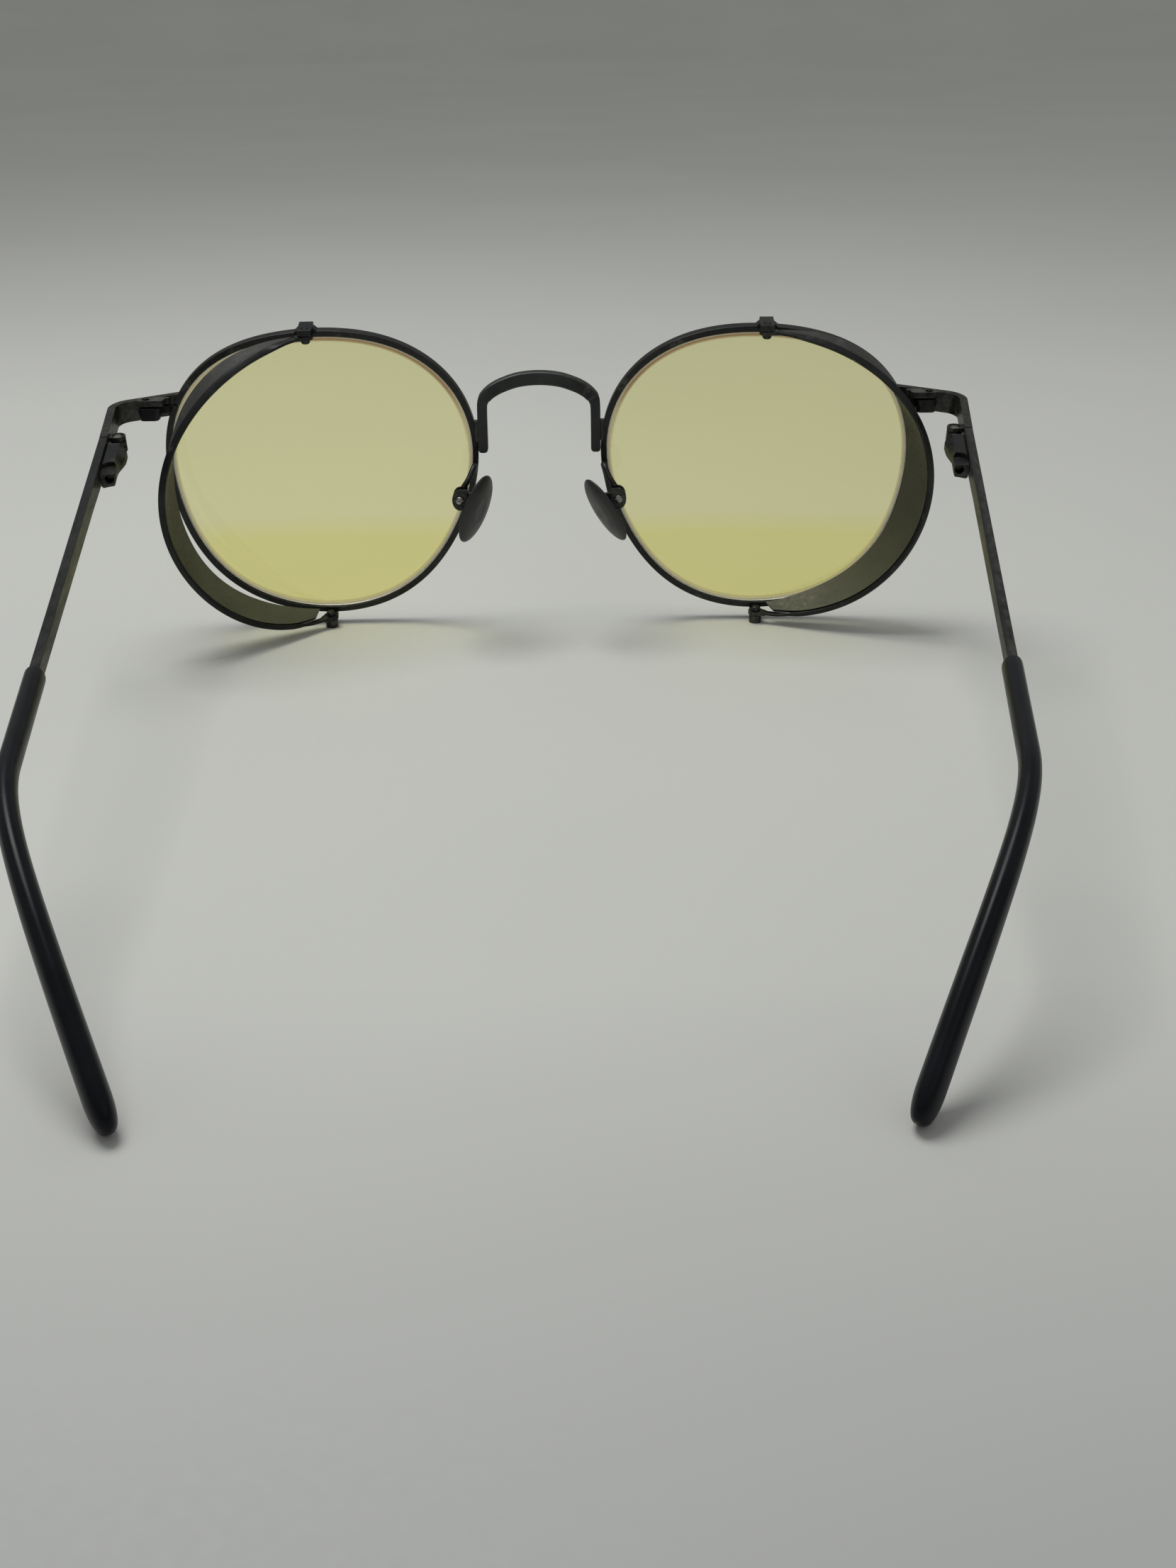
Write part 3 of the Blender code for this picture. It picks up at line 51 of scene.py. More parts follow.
cut, join = "DIFFERENCE", "UNION"


# shared shape code

def between(low, high, share):
    return low + (high - low) * share


def mirrored(point, side):
    return Vector((point.x * side, point.y, point.z))


def squareTo(vector, axis):   # the direction of the vector, brought square to the axis
    return (vector - axis * vector.dot(axis)).normalized()


def turnsOf(steps):
    return [tau * step / steps for step in range(steps)]


def runAt(points, index):   # the way a row of points runs at one of them
    return points[min(index + 1, len(points) - 1)] - points[max(index - 1, 0)]


def loft(sections):   # skins rings of equal length, and caps both ends
    shape = bmesh.new()
    rings = [[shape.verts.new(point) for point in section] for section in sections]
    for ring, following in zip(rings, rings[1:]):
        for a in range(len(ring)):
            b = (a + 1) % len(ring)
            shape.faces.new((ring[a], ring[b], following[b], following[a]))
    shape.faces.new(rings[0])
    shape.faces.new(rings[-1])
    return shape


def ellipse(width, height, steps):
    turns = [tau * (2 * step + 1) / (2 * steps) for step in range(steps)]
    return [(width / 2 * cos(turn), height / 2 * sin(turn)) for turn in turns]


def rectangle(width, height):
    x, y = width / 2, height / 2
    return [(x, y), (-x, y), (-x, -y), (x, -y)]


def softRectangle(width, height, radius, steps=4):
    outline = []
    for quarter, (sx, sy) in enumerate(((1, 1), (-1, 1), (-1, -1), (1, -1))):
        for step in range(steps + 1):
            turn = pi / 2 * (quarter + step / steps)
            x = sx * (width / 2 - radius) + radius * cos(turn)
            y = sy * (height / 2 - radius) + radius * sin(turn)
            outline.append((x, y))
    return outline


def place(outline, origin, across, up):
    return [origin + across * a + up * b for a, b in outline]


def sweep(path, up, outlines):
    sections = []
    for index, point in enumerate(path):
        along = runAt(path, index).normalized()
        across = along.cross(up).normalized()
        sections.append(place(outlines[index], point, across, across.cross(along)))
    return sections


def hoop(centre, axis, radius, steps):
    across = axis.orthogonal().normalized()
    return place(ellipse(2 * radius, 2 * radius, steps), centre, across, axis.cross(across))


def turned(base, axis, profile, steps=40):   # (radius, height) pairs turned about an axis
    return loft([hoop(base + axis * height, axis, radius, steps) for radius, height in profile])


def rod(base, axis, radius, low, high):
    return turned(base, axis, ((radius, low), (radius, high)))


def block(cornerA, cornerB, axes=(yAxis, zAxis, xAxis)):
    across, up, along = axes
    middle = (cornerA + cornerB) / 2
    size = cornerB - cornerA
    half = along * size.dot(along) / 2
    outline = rectangle(abs(size.dot(across)), abs(size.dot(up)))
    return loft([place(outline, middle - half, across, up), place(outline, middle + half, across, up)])


def rounded(points, radius, steps):   # a polyline whose inner corners are arcs
    path = [points[0]]
    for before, corner, after in zip(points, points[1:], points[2:]):
        into = (before - corner).normalized()
        out = (after - corner).normalized()
        half = into.angle(out) / 2
        reach = radius / tan(half)
        centre = corner + (into + out).normalized() * (radius / sin(half))
        start = corner + into * reach - centre
        end = corner + out * reach - centre
        axis = start.cross(end).normalized()
        for step in range(steps + 1):
            path.append(centre + Quaternion(axis, start.angle(end) * step / steps) @ start)
    path.append(points[-1])
    return path


def smooth(points, steps):   # a curve through the points
    padded = [points[0] * 2 - points[1], *points, points[-1] * 2 - points[-2]]
    path = []
    for a, b, c, d in zip(padded, padded[1:], padded[2:], padded[3:]):
        for step in range(steps):
            t = step / steps
            bend = (a * 2 - b * 5 + c * 4 - d) * (t * t)
            twist = (b * 3 - a - c * 3 + d) * (t * t * t)
            path.append((b * 2 + (c - a) * t + bend + twist) / 2)
    path.append(points[-1])
    return path


screwHead = {"crown": 0.62, "wall": 0.3, "flat": 0.45, "steps": 5}   # shares of the head's radius and height


def headProfile(values, start, sign=1):   # a low domed screw head
    radius, height = values["head"], values["headHeight"]
    crown, wall = screwHead["crown"], screwHead["wall"]
    profile = [(radius, start)]
    for step in range(screwHead["steps"]):
        turn = pi / 2 * step / screwHead["steps"]
        rise = height * between(wall, 1, sin(turn))
        profile.append((radius * between(crown, 1, cos(turn)), start + sign * rise))
    return [*profile, (radius * screwHead["flat"], start + sign * height)]


def driverSlot(base, out, along, width):   # cuts the slot in a screw's head, from its base outwards
    half = along * past + out.cross(along) * (width / 2)
    return block(base - half, base + half + out * past, (along, out, out.cross(along)))


def addObject(name, data):
    obj = bpy.data.objects.new(name, data)
    bpy.context.scene.collection.objects.link(obj)
    return obj


def addShape(name, shape):
    mesh = bpy.data.meshes.new(name)
    shape.to_mesh(mesh)
    shape.free()
    return addObject(name, mesh)


def worked(shape, tools):   # joins other shapes to this one, or cuts them from it
    made = []
    for one in (shape, *[tool[0] for tool in tools]):
        bmesh.ops.recalc_face_normals(one, faces=one.faces)
        made.append(addShape("work", one))
    for obj, tool in zip(made[1:], tools):
        modifier = made[0].modifiers.new("work", "BOOLEAN")
        modifier.operation = tool[1]
        modifier.solver = "EXACT"
        modifier.object = obj
    graph = bpy.context.evaluated_depsgraph_get()
    result = bmesh.new()
    result.from_mesh(made[0].evaluated_get(graph).to_mesh())
    for obj in made:
        mesh = obj.data
        bpy.data.objects.remove(obj, do_unlink=True)
        bpy.data.meshes.remove(mesh)
    bmesh.ops.remove_doubles(result, verts=result.verts, dist=weld)
    bmesh.ops.dissolve_degenerate(result, edges=result.edges, dist=weld)
    return result


easing = {"segments": 3, "from": radians(38), "crease": radians(40)}


def addPiece(name, shape, side, body, looks, nodes, edge=0.0, turn=None):
    for vert in shape.verts:
        point = mirrored(vert.co, side)
        if turn:   # (pivot, rotation) of a piece that rests off its drawn place
            point = turn[0] + turn[1] @ (point - turn[0])
        vert.co = point * mm + shift
    bmesh.ops.recalc_face_normals(shape, faces=shape.faces)
    obj = addShape(name, shape)
    obj.data.shade_smooth()
    for look in looks:
        obj.data.materials.append(look)
    if edge:
        easeEdges(obj, edge)
    else:
        obj.data.set_sharp_from_angle(angle=easing["crease"])
    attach(obj, body)
    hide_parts(*nodes)


def addToFront(name, side, piece, shape, look, node, edge=0.12):
    addPiece(name + piece, shape, side, "front", [look], [name + node], edge)


def easeEdges(obj, edge):
    bevel = obj.modifiers.new("easedEdges", "BEVEL")
    bevel.width = edge * mm
    bevel.segments = easing["segments"]
    bevel.limit_method = "ANGLE"
    bevel.angle_limit = easing["from"]
    bevel.harden_normals = True
    normals = obj.modifiers.new("evenShading", "WEIGHTED_NORMAL")
    normals.keep_sharp = True


# finishes

def newLook(name):
    material = bpy.data.materials.new(name)
    material.use_nodes = True
    return material, material.node_tree, material.node_tree.nodes["Principled BSDF"]


def addNode(tree, kind, links=None, **settings):
    made = tree.nodes.new("ShaderNode" + kind)
    for key, value in settings.items():
        setattr(made, key, value)
    for key, value in (links or {}).items():
        if isinstance(value, bpy.types.NodeSocket):
            tree.links.new(value, made.inputs[key])
        else:
            made.inputs[key].default_value = value
    return made


def grainOf(tree, scale, detail, stretch=(1, 1, 1)):   # noise in the piece's own coordinates
    coords = addNode(tree, "TexCoord").outputs["Object"]
    mapped = addNode(tree, "Mapping", {"Vector": coords, "Scale": stretch}).outputs[0]
    return addNode(tree, "TexNoise", {"Vector": mapped, "Scale": scale, "Detail": detail}).outputs["Fac"]


def rangeOf(tree, value, low, high, newLow=0.0, newHigh=1.0):
    return addNode(tree, "MapRange", {0: value, 1: low, 2: high, 3: newLow, 4: newHigh}).outputs[0]


def blendOf(tree, factor, first, second):
    return addNode(tree, "Mix", {0: factor, 6: first, 7: second}, data_type="RGBA").outputs[2]


def mathOf(tree, operation, first, second, clamp=False):
    return addNode(tree, "Math", {0: first, 1: second}, operation=operation, use_clamp=clamp).outputs[0]


def coordOf(tree, kind, axis):
    return addNode(tree, "SeparateXYZ", {0: addNode(tree, "TexCoord").outputs[kind]}).outputs[axis]


roughSpan = (0.3, 0.7)   # the stretch of a grain that roughness follows


def dress(tree, shader, tone, grain, values):   # colour, roughness and bump, then the plain sockets
    tree.links.new(tone, shader.inputs["Base Color"])
    tree.links.new(rangeOf(tree, grain, *roughSpan, *values["rough"]), shader.inputs["Roughness"])
    if "bump" in values:   # (strength, height in mm)
        strength, height = values["bump"]
        bump = addNode(tree, "Bump", {"Height": grain, "Strength": strength, "Distance": height * mm})
        tree.links.new(bump.outputs[0], shader.inputs["Normal"])
    for socket, value in values.get("sockets", {}).items():
        shader.inputs[socket].default_value = value


metalFinish = {   # grains are (scale, detail, stretch), and a span is the stretch of a grain that shows
    "dark": (0.019, 0.0205, 0.02, 1), "light": (0.029, 0.031, 0.03, 1), "wornAndSheenTone": (0.15, 0.143, 0.125, 1),
    "fine": (1400, 5), "cloud": (190, 3), "streak": (260, 6, (3.2, 0.32, 3.2)), "edgeWearAndHighlight": 0.4,
    "cloudSpan": (0.35, 0.7), "edgeSpan": (0.51, 0.58), "edgeGrainSpan": (0.3, 0.65), "faceSpan": (0.6, 0.9),
    "streakSpan": (0.36, 0.66, 0.1), "rough": (0.3, 0.42), "bump": (0.12, 0.012),
    "sockets": {"Metallic": 0.7, "Specular Tint": (0.5, 0.51, 0.5, 1)},
}


def gunmetal(name, stretch=(1, 1, 1), streaksAndSheen=0.0, facing=0, paintedLightLift=1.0):   # facing: axis of the streaked faces: rubbed wear on the arms, a painted reflection on the plates
    material, tree, shader = newLook(name)
    fine = grainOf(tree, *metalFinish["fine"], stretch)
    cloud = grainOf(tree, *metalFinish["cloud"], stretch)
    dark, light = [(*[paintedLightLift * part for part in metalFinish[tone][:3]], 1) for tone in ("dark", "light")]
    body = blendOf(tree, rangeOf(tree, cloud, *metalFinish["cloudSpan"]), dark, light)
    # lighter edges: rubbed wear, and a painted edge highlight
    pointed = addNode(tree, "NewGeometry").outputs["Pointiness"]
    edges = rangeOf(tree, pointed, *metalFinish["edgeSpan"])
    rubbedAndLitEdges = mathOf(tree, "MULTIPLY", edges, rangeOf(tree, fine, *metalFinish["edgeGrainSpan"]))
    wearAndSheen = mathOf(tree, "MULTIPLY", rubbedAndLitEdges, metalFinish["edgeWearAndHighlight"])
    # streaks on faces square to the axis: rubbed wear on the arms, a painted reflection of the light behind
    # on the plates' top faces
    if streaksAndSheen:
        normal = coordOf(tree, "Normal", facing)
        faces = rangeOf(tree, mathOf(tree, "MULTIPLY", normal, normal), *metalFinish["faceSpan"])
        streaks = rangeOf(tree, grainOf(tree, *metalFinish["streak"]), *metalFinish["streakSpan"], streaksAndSheen)
        wearAndSheen = mathOf(tree, "ADD", wearAndSheen, mathOf(tree, "MULTIPLY", streaks, faces), True)
    dress(tree, shader, blendOf(tree, wearAndSheen, body, metalFinish["wornAndSheenTone"]), fine, metalFinish)
    return material


steelFinish = {
    "dark": (0.16, 0.155, 0.15, 1), "light": (0.46, 0.45, 0.43, 1), "span": (0.35, 0.7), "grain": (2600, 4),
    "rough": (0.2, 0.36), "bump": (0.15, 0.01), "sockets": {"Metallic": 1},
}
bevelFinish = {   # the ground edge of the lens
    "dark": (0.88, 0.86, 0.74, 1), "light": (0.97, 0.95, 0.84, 1), "span": (0.3, 0.7), "grain": (2200, 3),
    "rough": (0.3, 0.5), "sockets": {"Transmission Weight": 0.6},
}
padFinish = {
    "dark": (0.009, 0.0096, 0.0094, 1), "light": (0.016, 0.017, 0.0165, 1), "span": (0.35, 0.7),
    "grain": (500, 4), "rough": (0.34, 0.5), "bump": (0.15, 0.03),
}
tipFinish = {
    "dark": (0.003, 0.0036, 0.0055, 1), "light": (0.006, 0.0068, 0.0095, 1), "span": (0.35, 0.7),
    "grain": (150, 3), "dust": (0.09, 0.09, 0.085, 1), "dustGrain": (3000, 2), "dustSpan": (0.76, 0.8),
    "rough": (0.26, 0.36), "bump": (0.1, 0.05), "sockets": {"Specular IOR Level": 0.14},
}


def plainLook(name, values):
    material, tree, shader = newLook(name)
    grain = grainOf(tree, *values["grain"])
    tone = blendOf(tree, rangeOf(tree, grain, *values["span"]), values["dark"], values["light"])
    if "dust" in values:
        specks = rangeOf(tree, grainOf(tree, *values["dustGrain"]), *values["dustSpan"])
        tone = blendOf(tree, specks, tone, values["dust"])
    dress(tree, shader, tone, grain, values)
    return material


lensFinish = {
    # the lower tone, deeper yellow towards the lens's bottom, is painted light: the lens's yellow light on
    # the table, seen through it
    "upper": (1.0, 0.963, 0.57, 1), "lower": (1.0, 0.943, 0.42, 1), "paintedLightLow": 15.2, "paintedLightHigh": 19.0,
    # paintedRimReflection is a painted reflection of the rim's inside, brown along the lens's upper edge
    "paintedRimReflection": (0.42, 0.27, 0.12, 1), "shade": (0.9, 0.895, 0.8, 1),   # shade: what its shadow is tinted with
    "lint": (420, 8, (1, 1, 2.2)), "lintSpan": (0.66, 0.74), "rough": (0.015, 0.12), "ior": 1.4,
}


def lensGlass():
    material, tree, shader = newLook("yellowLens")
    # painted light: the tint turns a deeper yellow towards the bottom of the lens
    height = coordOf(tree, "Object", 2)
    paintedLightRamp = rangeOf(tree, height, lensFinish["paintedLightLow"] * mm, lensFinish["paintedLightHigh"] * mm)
    tint = blendOf(tree, paintedLightRamp, lensFinish["lower"], lensFinish["upper"])
    # the band attribute holds the painted reflection of the rim and the painted dark edge line
    band = addNode(tree, "Attribute", attribute_name="paintedRimReflection").outputs["Fac"]
    tint = blendOf(tree, band, tint, lensFinish["paintedRimReflection"])
    tree.links.new(tint, shader.inputs["Base Color"])
    lint = grainOf(tree, *lensFinish["lint"])
    rough = rangeOf(tree, lint, *lensFinish["lintSpan"], *lensFinish["rough"])
    tree.links.new(rough, shader.inputs["Roughness"])
    shader.inputs["Transmission Weight"].default_value = 1
    shader.inputs["IOR"].default_value = lensFinish["ior"]
    shade = blendOf(tree, band, lensFinish["shade"], lensFinish["paintedRimReflection"])
    clear = addNode(tree, "BsdfTransparent", {0: shade})
    ray = addNode(tree, "LightPath").outputs["Is Shadow Ray"]
    mix = addNode(tree, "MixShader", {0: ray, 1: shader.outputs[0], 2: clear.outputs[0]})
    tree.links.new(mix.outputs[0], tree.nodes["Material Output"].inputs["Surface"])
    return material


shieldFinish = {
    "outer": {
        "dark": (0.0105, 0.0097, 0.0078, 1), "light": (0.019, 0.0174, 0.014, 1),
        "scuff": (0.075, 0.067, 0.055, 1), "scuffShare": 0.5,
    },
    "inner": {
        "dark": (0.052, 0.0525, 0.031, 1), "light": (0.074, 0.074, 0.044, 1),
        "scuff": (0.11, 0.118, 0.08, 1), "scuffShare": 0.15,
    },
    "fine": (1500, 5), "cloud": (130, 4), "cloudSpan": (0.3, 0.72), "scuffs": (330, 7, (1, 0.5, 1.6)),
    "scuffSpan": (0.58, 0.78), "rough": (0.46, 0.66), "bump": (0.25, 0.015),
}


def shieldSheet(name, face):
    material, tree, shader = newLook(name)
    tones = shieldFinish[face]
    cloud = rangeOf(tree, grainOf(tree, *shieldFinish["cloud"]), *shieldFinish["cloudSpan"])
    body = blendOf(tree, cloud, tones["dark"], tones["light"])
    scuffs = grainOf(tree, *shieldFinish["scuffs"])
    scuffs = rangeOf(tree, scuffs, *shieldFinish["scuffSpan"], 0, tones["scuffShare"])
    fine = grainOf(tree, *shieldFinish["fine"])
    dress(tree, shader, blendOf(tree, scuffs, body, tones["scuff"]), fine, shieldFinish)
    return material


frameMetal = gunmetal("frameMetal")
# a lit copy of the frame metal: painted light on the bridge's faces
litBridgeMetal = gunmetal("litBridgeMetal", paintedLightLift=1.9)
armMetal = gunmetal("armMetal", (1, 0.3, 1), streaksAndSheen=0.9)
# its faces that look up take the streaks as a painted reflection of the light behind
plateMetalWithSheen = gunmetal("plateMetalWithSheen", streaksAndSheen=0.7, facing=2)
steel = plainLook("screwSteel", steelFinish)
glass = lensGlass()
groundEdge = plainLook("lensBevel", bevelFinish)
tipBlack = plainLook("tipPlastic", tipFinish)
padDark = plainLook("padPlastic", padFinish)
shieldOuter = shieldSheet("shieldOuter", "outer")
shieldInner = shieldSheet("shieldInner", "inner")
print("finishes ready")


# rims and lenses

rim = {
    "radius": 24.78,   # swell: (waves round the rim, cosine share, sine share)
    "swell": ((2, 0.018, -0.014), (3, -0.002, 0.029), (4, -0.013, -0.003), (5, -0.003, 0.003)),
    "depth": 1.99, "wall": 0.95, "grooveDepth": 0.45, "grooveWidth": 1.2, "steps": 216,
    "centre": Vector((35.14, 0, 26.56)), "tilt": radians(6.8), "wrap": radians(3.0),
    "slit": 0.3, "slitAngle": radians(28.6), "braze": 0.35, "trimPast": 0.4, "trimSteps": 120,
}
lens = {   # insets count from the outside of the rim
    "thickness": 1.8, "dome": 1.0, "edge": 1.0, "bevel": 0.16, "backInset": 1.28, "wallInset": 0.97,
    "tipInset": 0.76, "rings": (0.994, 0.984, 0.972, 0.95, 0.9, 0.8, 0.65, 0.45, 0.25, 0.08), "steps": 180,
    # where the painted reflection of the rim lies on the lens edge, and the strength of its painted dark line
    "paintedEdgeLine": 0.6, "reflectionFrom": 0.984, "reflectionFade": 0.5, "reflectionStart": radians(40), "reflectionEnd": radians(175),
}
rimOut = Vector((cos(rim["wrap"]), -sin(rim["wrap"]), 0))
rimFore = Vector((sin(rim["wrap"]) * cos(rim["tilt"]), cos(rim["wrap"]) * cos(rim["tilt"]), sin(rim["tilt"])))
rimUp = rimOut.cross(rimFore)


def rimPoint(u, v, w):
    return rim["centre"] + rimOut * u + rimUp * v + rimFore * w


def rimRadius(angle):
    waves = sum(c * cos(k * angle) + s * sin(k * angle) for k, c, s in rim["swell"])
    return rim["radius"] * (1 + waves)


def rimSpot(angle, inset, w):
    radius = rimRadius(angle) - inset
    return rimPoint(radius * cos(angle), radius * sin(angle), w)


def makeRim():
    depth, wall = rim["depth"], rim["wall"]
    low = depth / 2 - rim["grooveWidth"] / 2
    high = depth / 2 + rim["grooveWidth"] / 2
    profile = (
        (0, 0), (0, depth), (wall, depth), (wall, high), (wall - rim["grooveDepth"], depth / 2), (wall, low),
        (wall, 0),
    )
    half = rim["slit"] / 2 / rim["radius"]
    sections = []
    for step in range(rim["steps"] + 1):
        angle = rim["slitAngle"] + half + (tau - 2 * half) * step / rim["steps"]
        sections.append([rimSpot(angle, inset, w) for inset, w in profile])
    return loft(sections)


def rimCutter():   # a disc that trims what is brazed to the rim
    ends = (-rim["trimPast"], rim["depth"] + rim["trimPast"])
    return loft([[rimSpot(turn, rim["braze"], w) for turn in turnsOf(rim["trimSteps"])] for w in ends])


# painted reflection: its strength round the lens edge
def reflectionFade(angle):   # 1 along the brown stretch of the lens edge, fading out at its ends
    into, out = angle - lens["reflectionStart"], lens["reflectionEnd"] - angle
    return min(max(into / lens["reflectionFade"], 0), 1) * min(max(out / lens["reflectionFade"], 0), 1)


def makeLens():
    crown = lens["dome"] + lens["thickness"] - lens["edge"]
    back = (rim["depth"] - lens["edge"]) / 2
    front = back + lens["edge"]
    profile = []   # (share of the radius, inset, height)
    for share in reversed(lens["rings"]):
        profile.append((share, lens["backInset"], back + lens["dome"] * (1 - share * share)))
    profile += [
        (1, lens["backInset"], back), (1, lens["wallInset"], back + lens["bevel"]),
        (1, lens["tipInset"], rim["depth"] / 2),
        (1, lens["wallInset"], front - lens["bevel"]), (1, lens["backInset"], front),
    ]
    for share in lens["rings"]:
        profile.append((share, lens["backInset"], front + crown * (1 - share * share)))
    sections, fades = [], []
    for share, inset, w in profile:
        section = []
        for angle in turnsOf(lens["steps"]):
            radius = (rimRadius(angle) - inset) * share
            section.append(rimPoint(radius * cos(angle), radius * sin(angle), w))
            fade = reflectionFade(angle) if share >= lens["reflectionFrom"] else 0
            # painted shade: a thin dark line at the lens edge, drawn in the reflection's brown
            if share > lens["rings"][1]:   # a thin dark line runs all the way round
                fade = max(fade, lens["paintedEdgeLine"])
            fades.append(fade)
        sections.append(section)
    shape = loft(sections)
    band = shape.verts.layers.float.new("paintedRimReflection")
    for vert, fade in zip(shape.verts, fades):
        vert[band] = fade
    shape.faces.ensure_lookup_table()
    first = len(lens["rings"]) * lens["steps"]
    for face in shape.faces[first:first + 4 * lens["steps"]]:   # the ground edge is a finish of its own
        face.material_index = 1
    return shape


for name, side in sides:
    addToFront(name, side, "Rim", makeRim(), frameMetal, "_eyewire")
    addPiece(name + "Lens", makeLens(), side, "front", [glass, groundEdge], [name + "_lens"])
print("rims and lenses ready")


# bridge

bridge = {
    "legWidth": 1.55, "width": 2.1, "depth": 2.2, "edge": 0.3, "steps": 7,
    "endRises": (0.12, 0.32), "endRound": (0.62, 0.84, 0.96),   # the legs' rounded ends
    "leg": Vector((9.1, 1.1, 29.75)), "crown": Vector((0, 2.7, 41.2)),
    "middles": (
        (9.1, 1.15, 33.4), (9.07, 1.2, 36.9), (8.86, 1.25, 38.0), (8.4, 1.4, 38.65), (7.4, 1.7, 39.45),
        (5.8, 2.1, 40.2), (3.2, 2.5, 40.95),
    ),
    "lugLow": 31.5, "lugHigh": 34.8, "lugDepth": 1.2, "lugReach": 2.3,
}


def makeBridge():
    right = [bridge["leg"], *[Vector(point) for point in bridge["middles"]]]
    left = [mirrored(point, -1) for point in reversed(right)]
    path = smooth([*right, bridge["crown"], *left], bridge["steps"])
    rises = [zAxis * rise for rise in bridge["endRises"]]
    start = [path[0] + rise for rise in rises]
    end = [path[-1] + rise for rise in reversed(rises)]
    path = [path[0], *start, *path[1:-1], *end, path[-1]]
    sections = []
    for index, point in enumerate(path):
        along = runAt(path, index).normalized()
        depth = squareTo(yAxis, along)
        width = between(bridge["legWidth"], bridge["width"], abs(along.x))
        fromEnd = min(index, len(path) - 1 - index)
        if fromEnd < len(bridge["endRound"]):
            width *= bridge["endRound"][fromEnd]
        outline = softRectangle(bridge["depth"], width, bridge["edge"])
        sections.append(place(outline, point, depth, along.cross(depth)))
    leg, half = bridge["leg"], bridge["lugDepth"] / 2
    low = Vector((leg.x, leg.y - half, bridge["lugLow"]))
    high = Vector((leg.x + bridge["lugReach"], leg.y + half, bridge["lugHigh"]))
    lugs, trims = [], []
    for _, side in sides:   # the lugs that are brazed to the rims
        lugs.append((block(mirrored(low, side), mirrored(high, side)), join))
        cutter = rimCutter()
        for vert in cutter.verts:
            vert.co.x *= side
        trims.append((cutter, cut))
    return worked(loft(sections), lugs + trims)


addPiece("bridgeBar", makeBridge(), 1, "front", [litBridgeMetal], ["bridge"], 0.1)
print("bridge ready")


# end pieces with their hinge knuckles, and the blocks that close the rims

strap = {
    "thickness": 1.2, "height": 3.2, "radius": 2.3, "inward": radians(7.4), "drop": radians(7.9),
    "start": Vector((56.2, -0.9, 40.3)), "corner": Vector((67.57, -2.33, 39.0)), "steps": 14, "edge": 0.14,
}
hinge = {   # the screw's axis is this far back and inward from the strap's corner
    "back": 13.7, "inward": 1.32, "radius": 1.15, "endHeight": 0.65, "midHeight": 0.8, "runGap": 0.15,
    "webFront": 0.9, "webBack": 0.8, "pin": 0.5, "bore": 0.65, "head": 0.75, "headHeight": 0.22, "sink": 0.84,
    "sinkDepth": 0.34, "seat": 0.04, "pastPin": 1.2, "slot": 0.24, "slotShare": 0.5,
}
closing = {
    "innerX": 59.1, "outerX": 62.55, "plateX": 58.45, "top": 39.904, "upper": 0.9, "lower": 1.95,
    "front": -3.297, "depth": 2.5, "taper": 0.35, "round": 0.67, "roundSteps": 6,
    "lugX": 57.95, "lugDepth": 0.9, "lugForward": 0.5, "screwX": 61.3, "screw": 0.45, "shankFrom": 0.15,
    "neck": 0.05, "seat": 0.1, "head": 0.46, "headHeight": 0.12, "slot": 0.2, "slotShare": 0.4,
}
knuckleLow = hinge["midHeight"] / 2 + hinge["runGap"]   # the upper end knuckle, above the hinge's middle
knuckleTop = knuckleLow + hinge["endHeight"]
closingY = closing["front"] - closing["depth"] / 2
splitHigh = closing["top"] - closing["upper"]
splitLow = splitHigh - rim["slit"]
screwEdge = 0.03
armHeight = 3.1
armBack = Vector((
    -sin(strap["inward"]), -cos(strap["inward"]) * cos(strap["drop"]),
    -cos(strap["inward"]) * sin(strap["drop"]),
))
armUp = Vector((0, -sin(strap["drop"]), cos(strap["drop"])))
armIn = armBack.cross(armUp)


def armPoint(back, inward, up):
    return strap["corner"] + armBack * back + armIn * inward + armUp * up


def hingeAxis(up=0):
    return armPoint(hinge["back"], strap["thickness"] + hinge["inward"], up - armHeight / 2)


def makeEndPiece():
    drop = armUp * (strap["height"] / 2)
    inset = strap["thickness"] / 2
    start = strap["start"] - yAxis * inset - drop
    corner = strap["corner"] + armIn * inset - yAxis * inset - drop
    end = armPoint(hinge["back"] + hinge["pastPin"], inset, 0) - drop
    path = rounded([start, corner, end], strap["radius"], strap["steps"])
    outline = rectangle(strap["thickness"], strap["height"])
    tools = [(rimCutter(), cut)]
    for level in (knuckleLow, -knuckleTop):   # two knuckles, each with a web to the strap
        base = hingeAxis(level)
        tools.append((rod(base, armUp, hinge["radius"], 0, hinge["endHeight"]), join))
        webStart = base - armBack * (hinge["radius"] * hinge["webFront"])
        webEnd = base + armBack * (hinge["radius"] * hinge["webBack"]) + armUp * hinge["endHeight"]
        webEnd = webEnd - armIn * (hinge["inward"] + strap["thickness"] / 2)
        tools.append((block(webStart, webEnd, (armIn, armUp, armBack)), join))
    bore = rod(hingeAxis(), armUp, hinge["bore"], -knuckleTop - past, knuckleTop + past)
    sink = rod(hingeAxis(knuckleTop - hinge["sinkDepth"]), armUp, hinge["sink"], 0, past)
    tools += [(bore, cut), (sink, cut)]
    return worked(loft(sweep(path, armUp, [outline] * len(path))), tools)


def makeHingeScrew():
    seat = knuckleTop - hinge["sinkDepth"] + hinge["seat"]
    profile = [(hinge["pin"], -knuckleTop), (hinge["pin"], seat)]
    profile += headProfile(hinge, seat)
    slotBase = hingeAxis(seat + hinge["headHeight"] * hinge["slotShare"])
    slot = driverSlot(slotBase, armUp, armIn, hinge["slot"])
    return worked(turned(hingeAxis(), armUp, profile), [(slot, cut)])


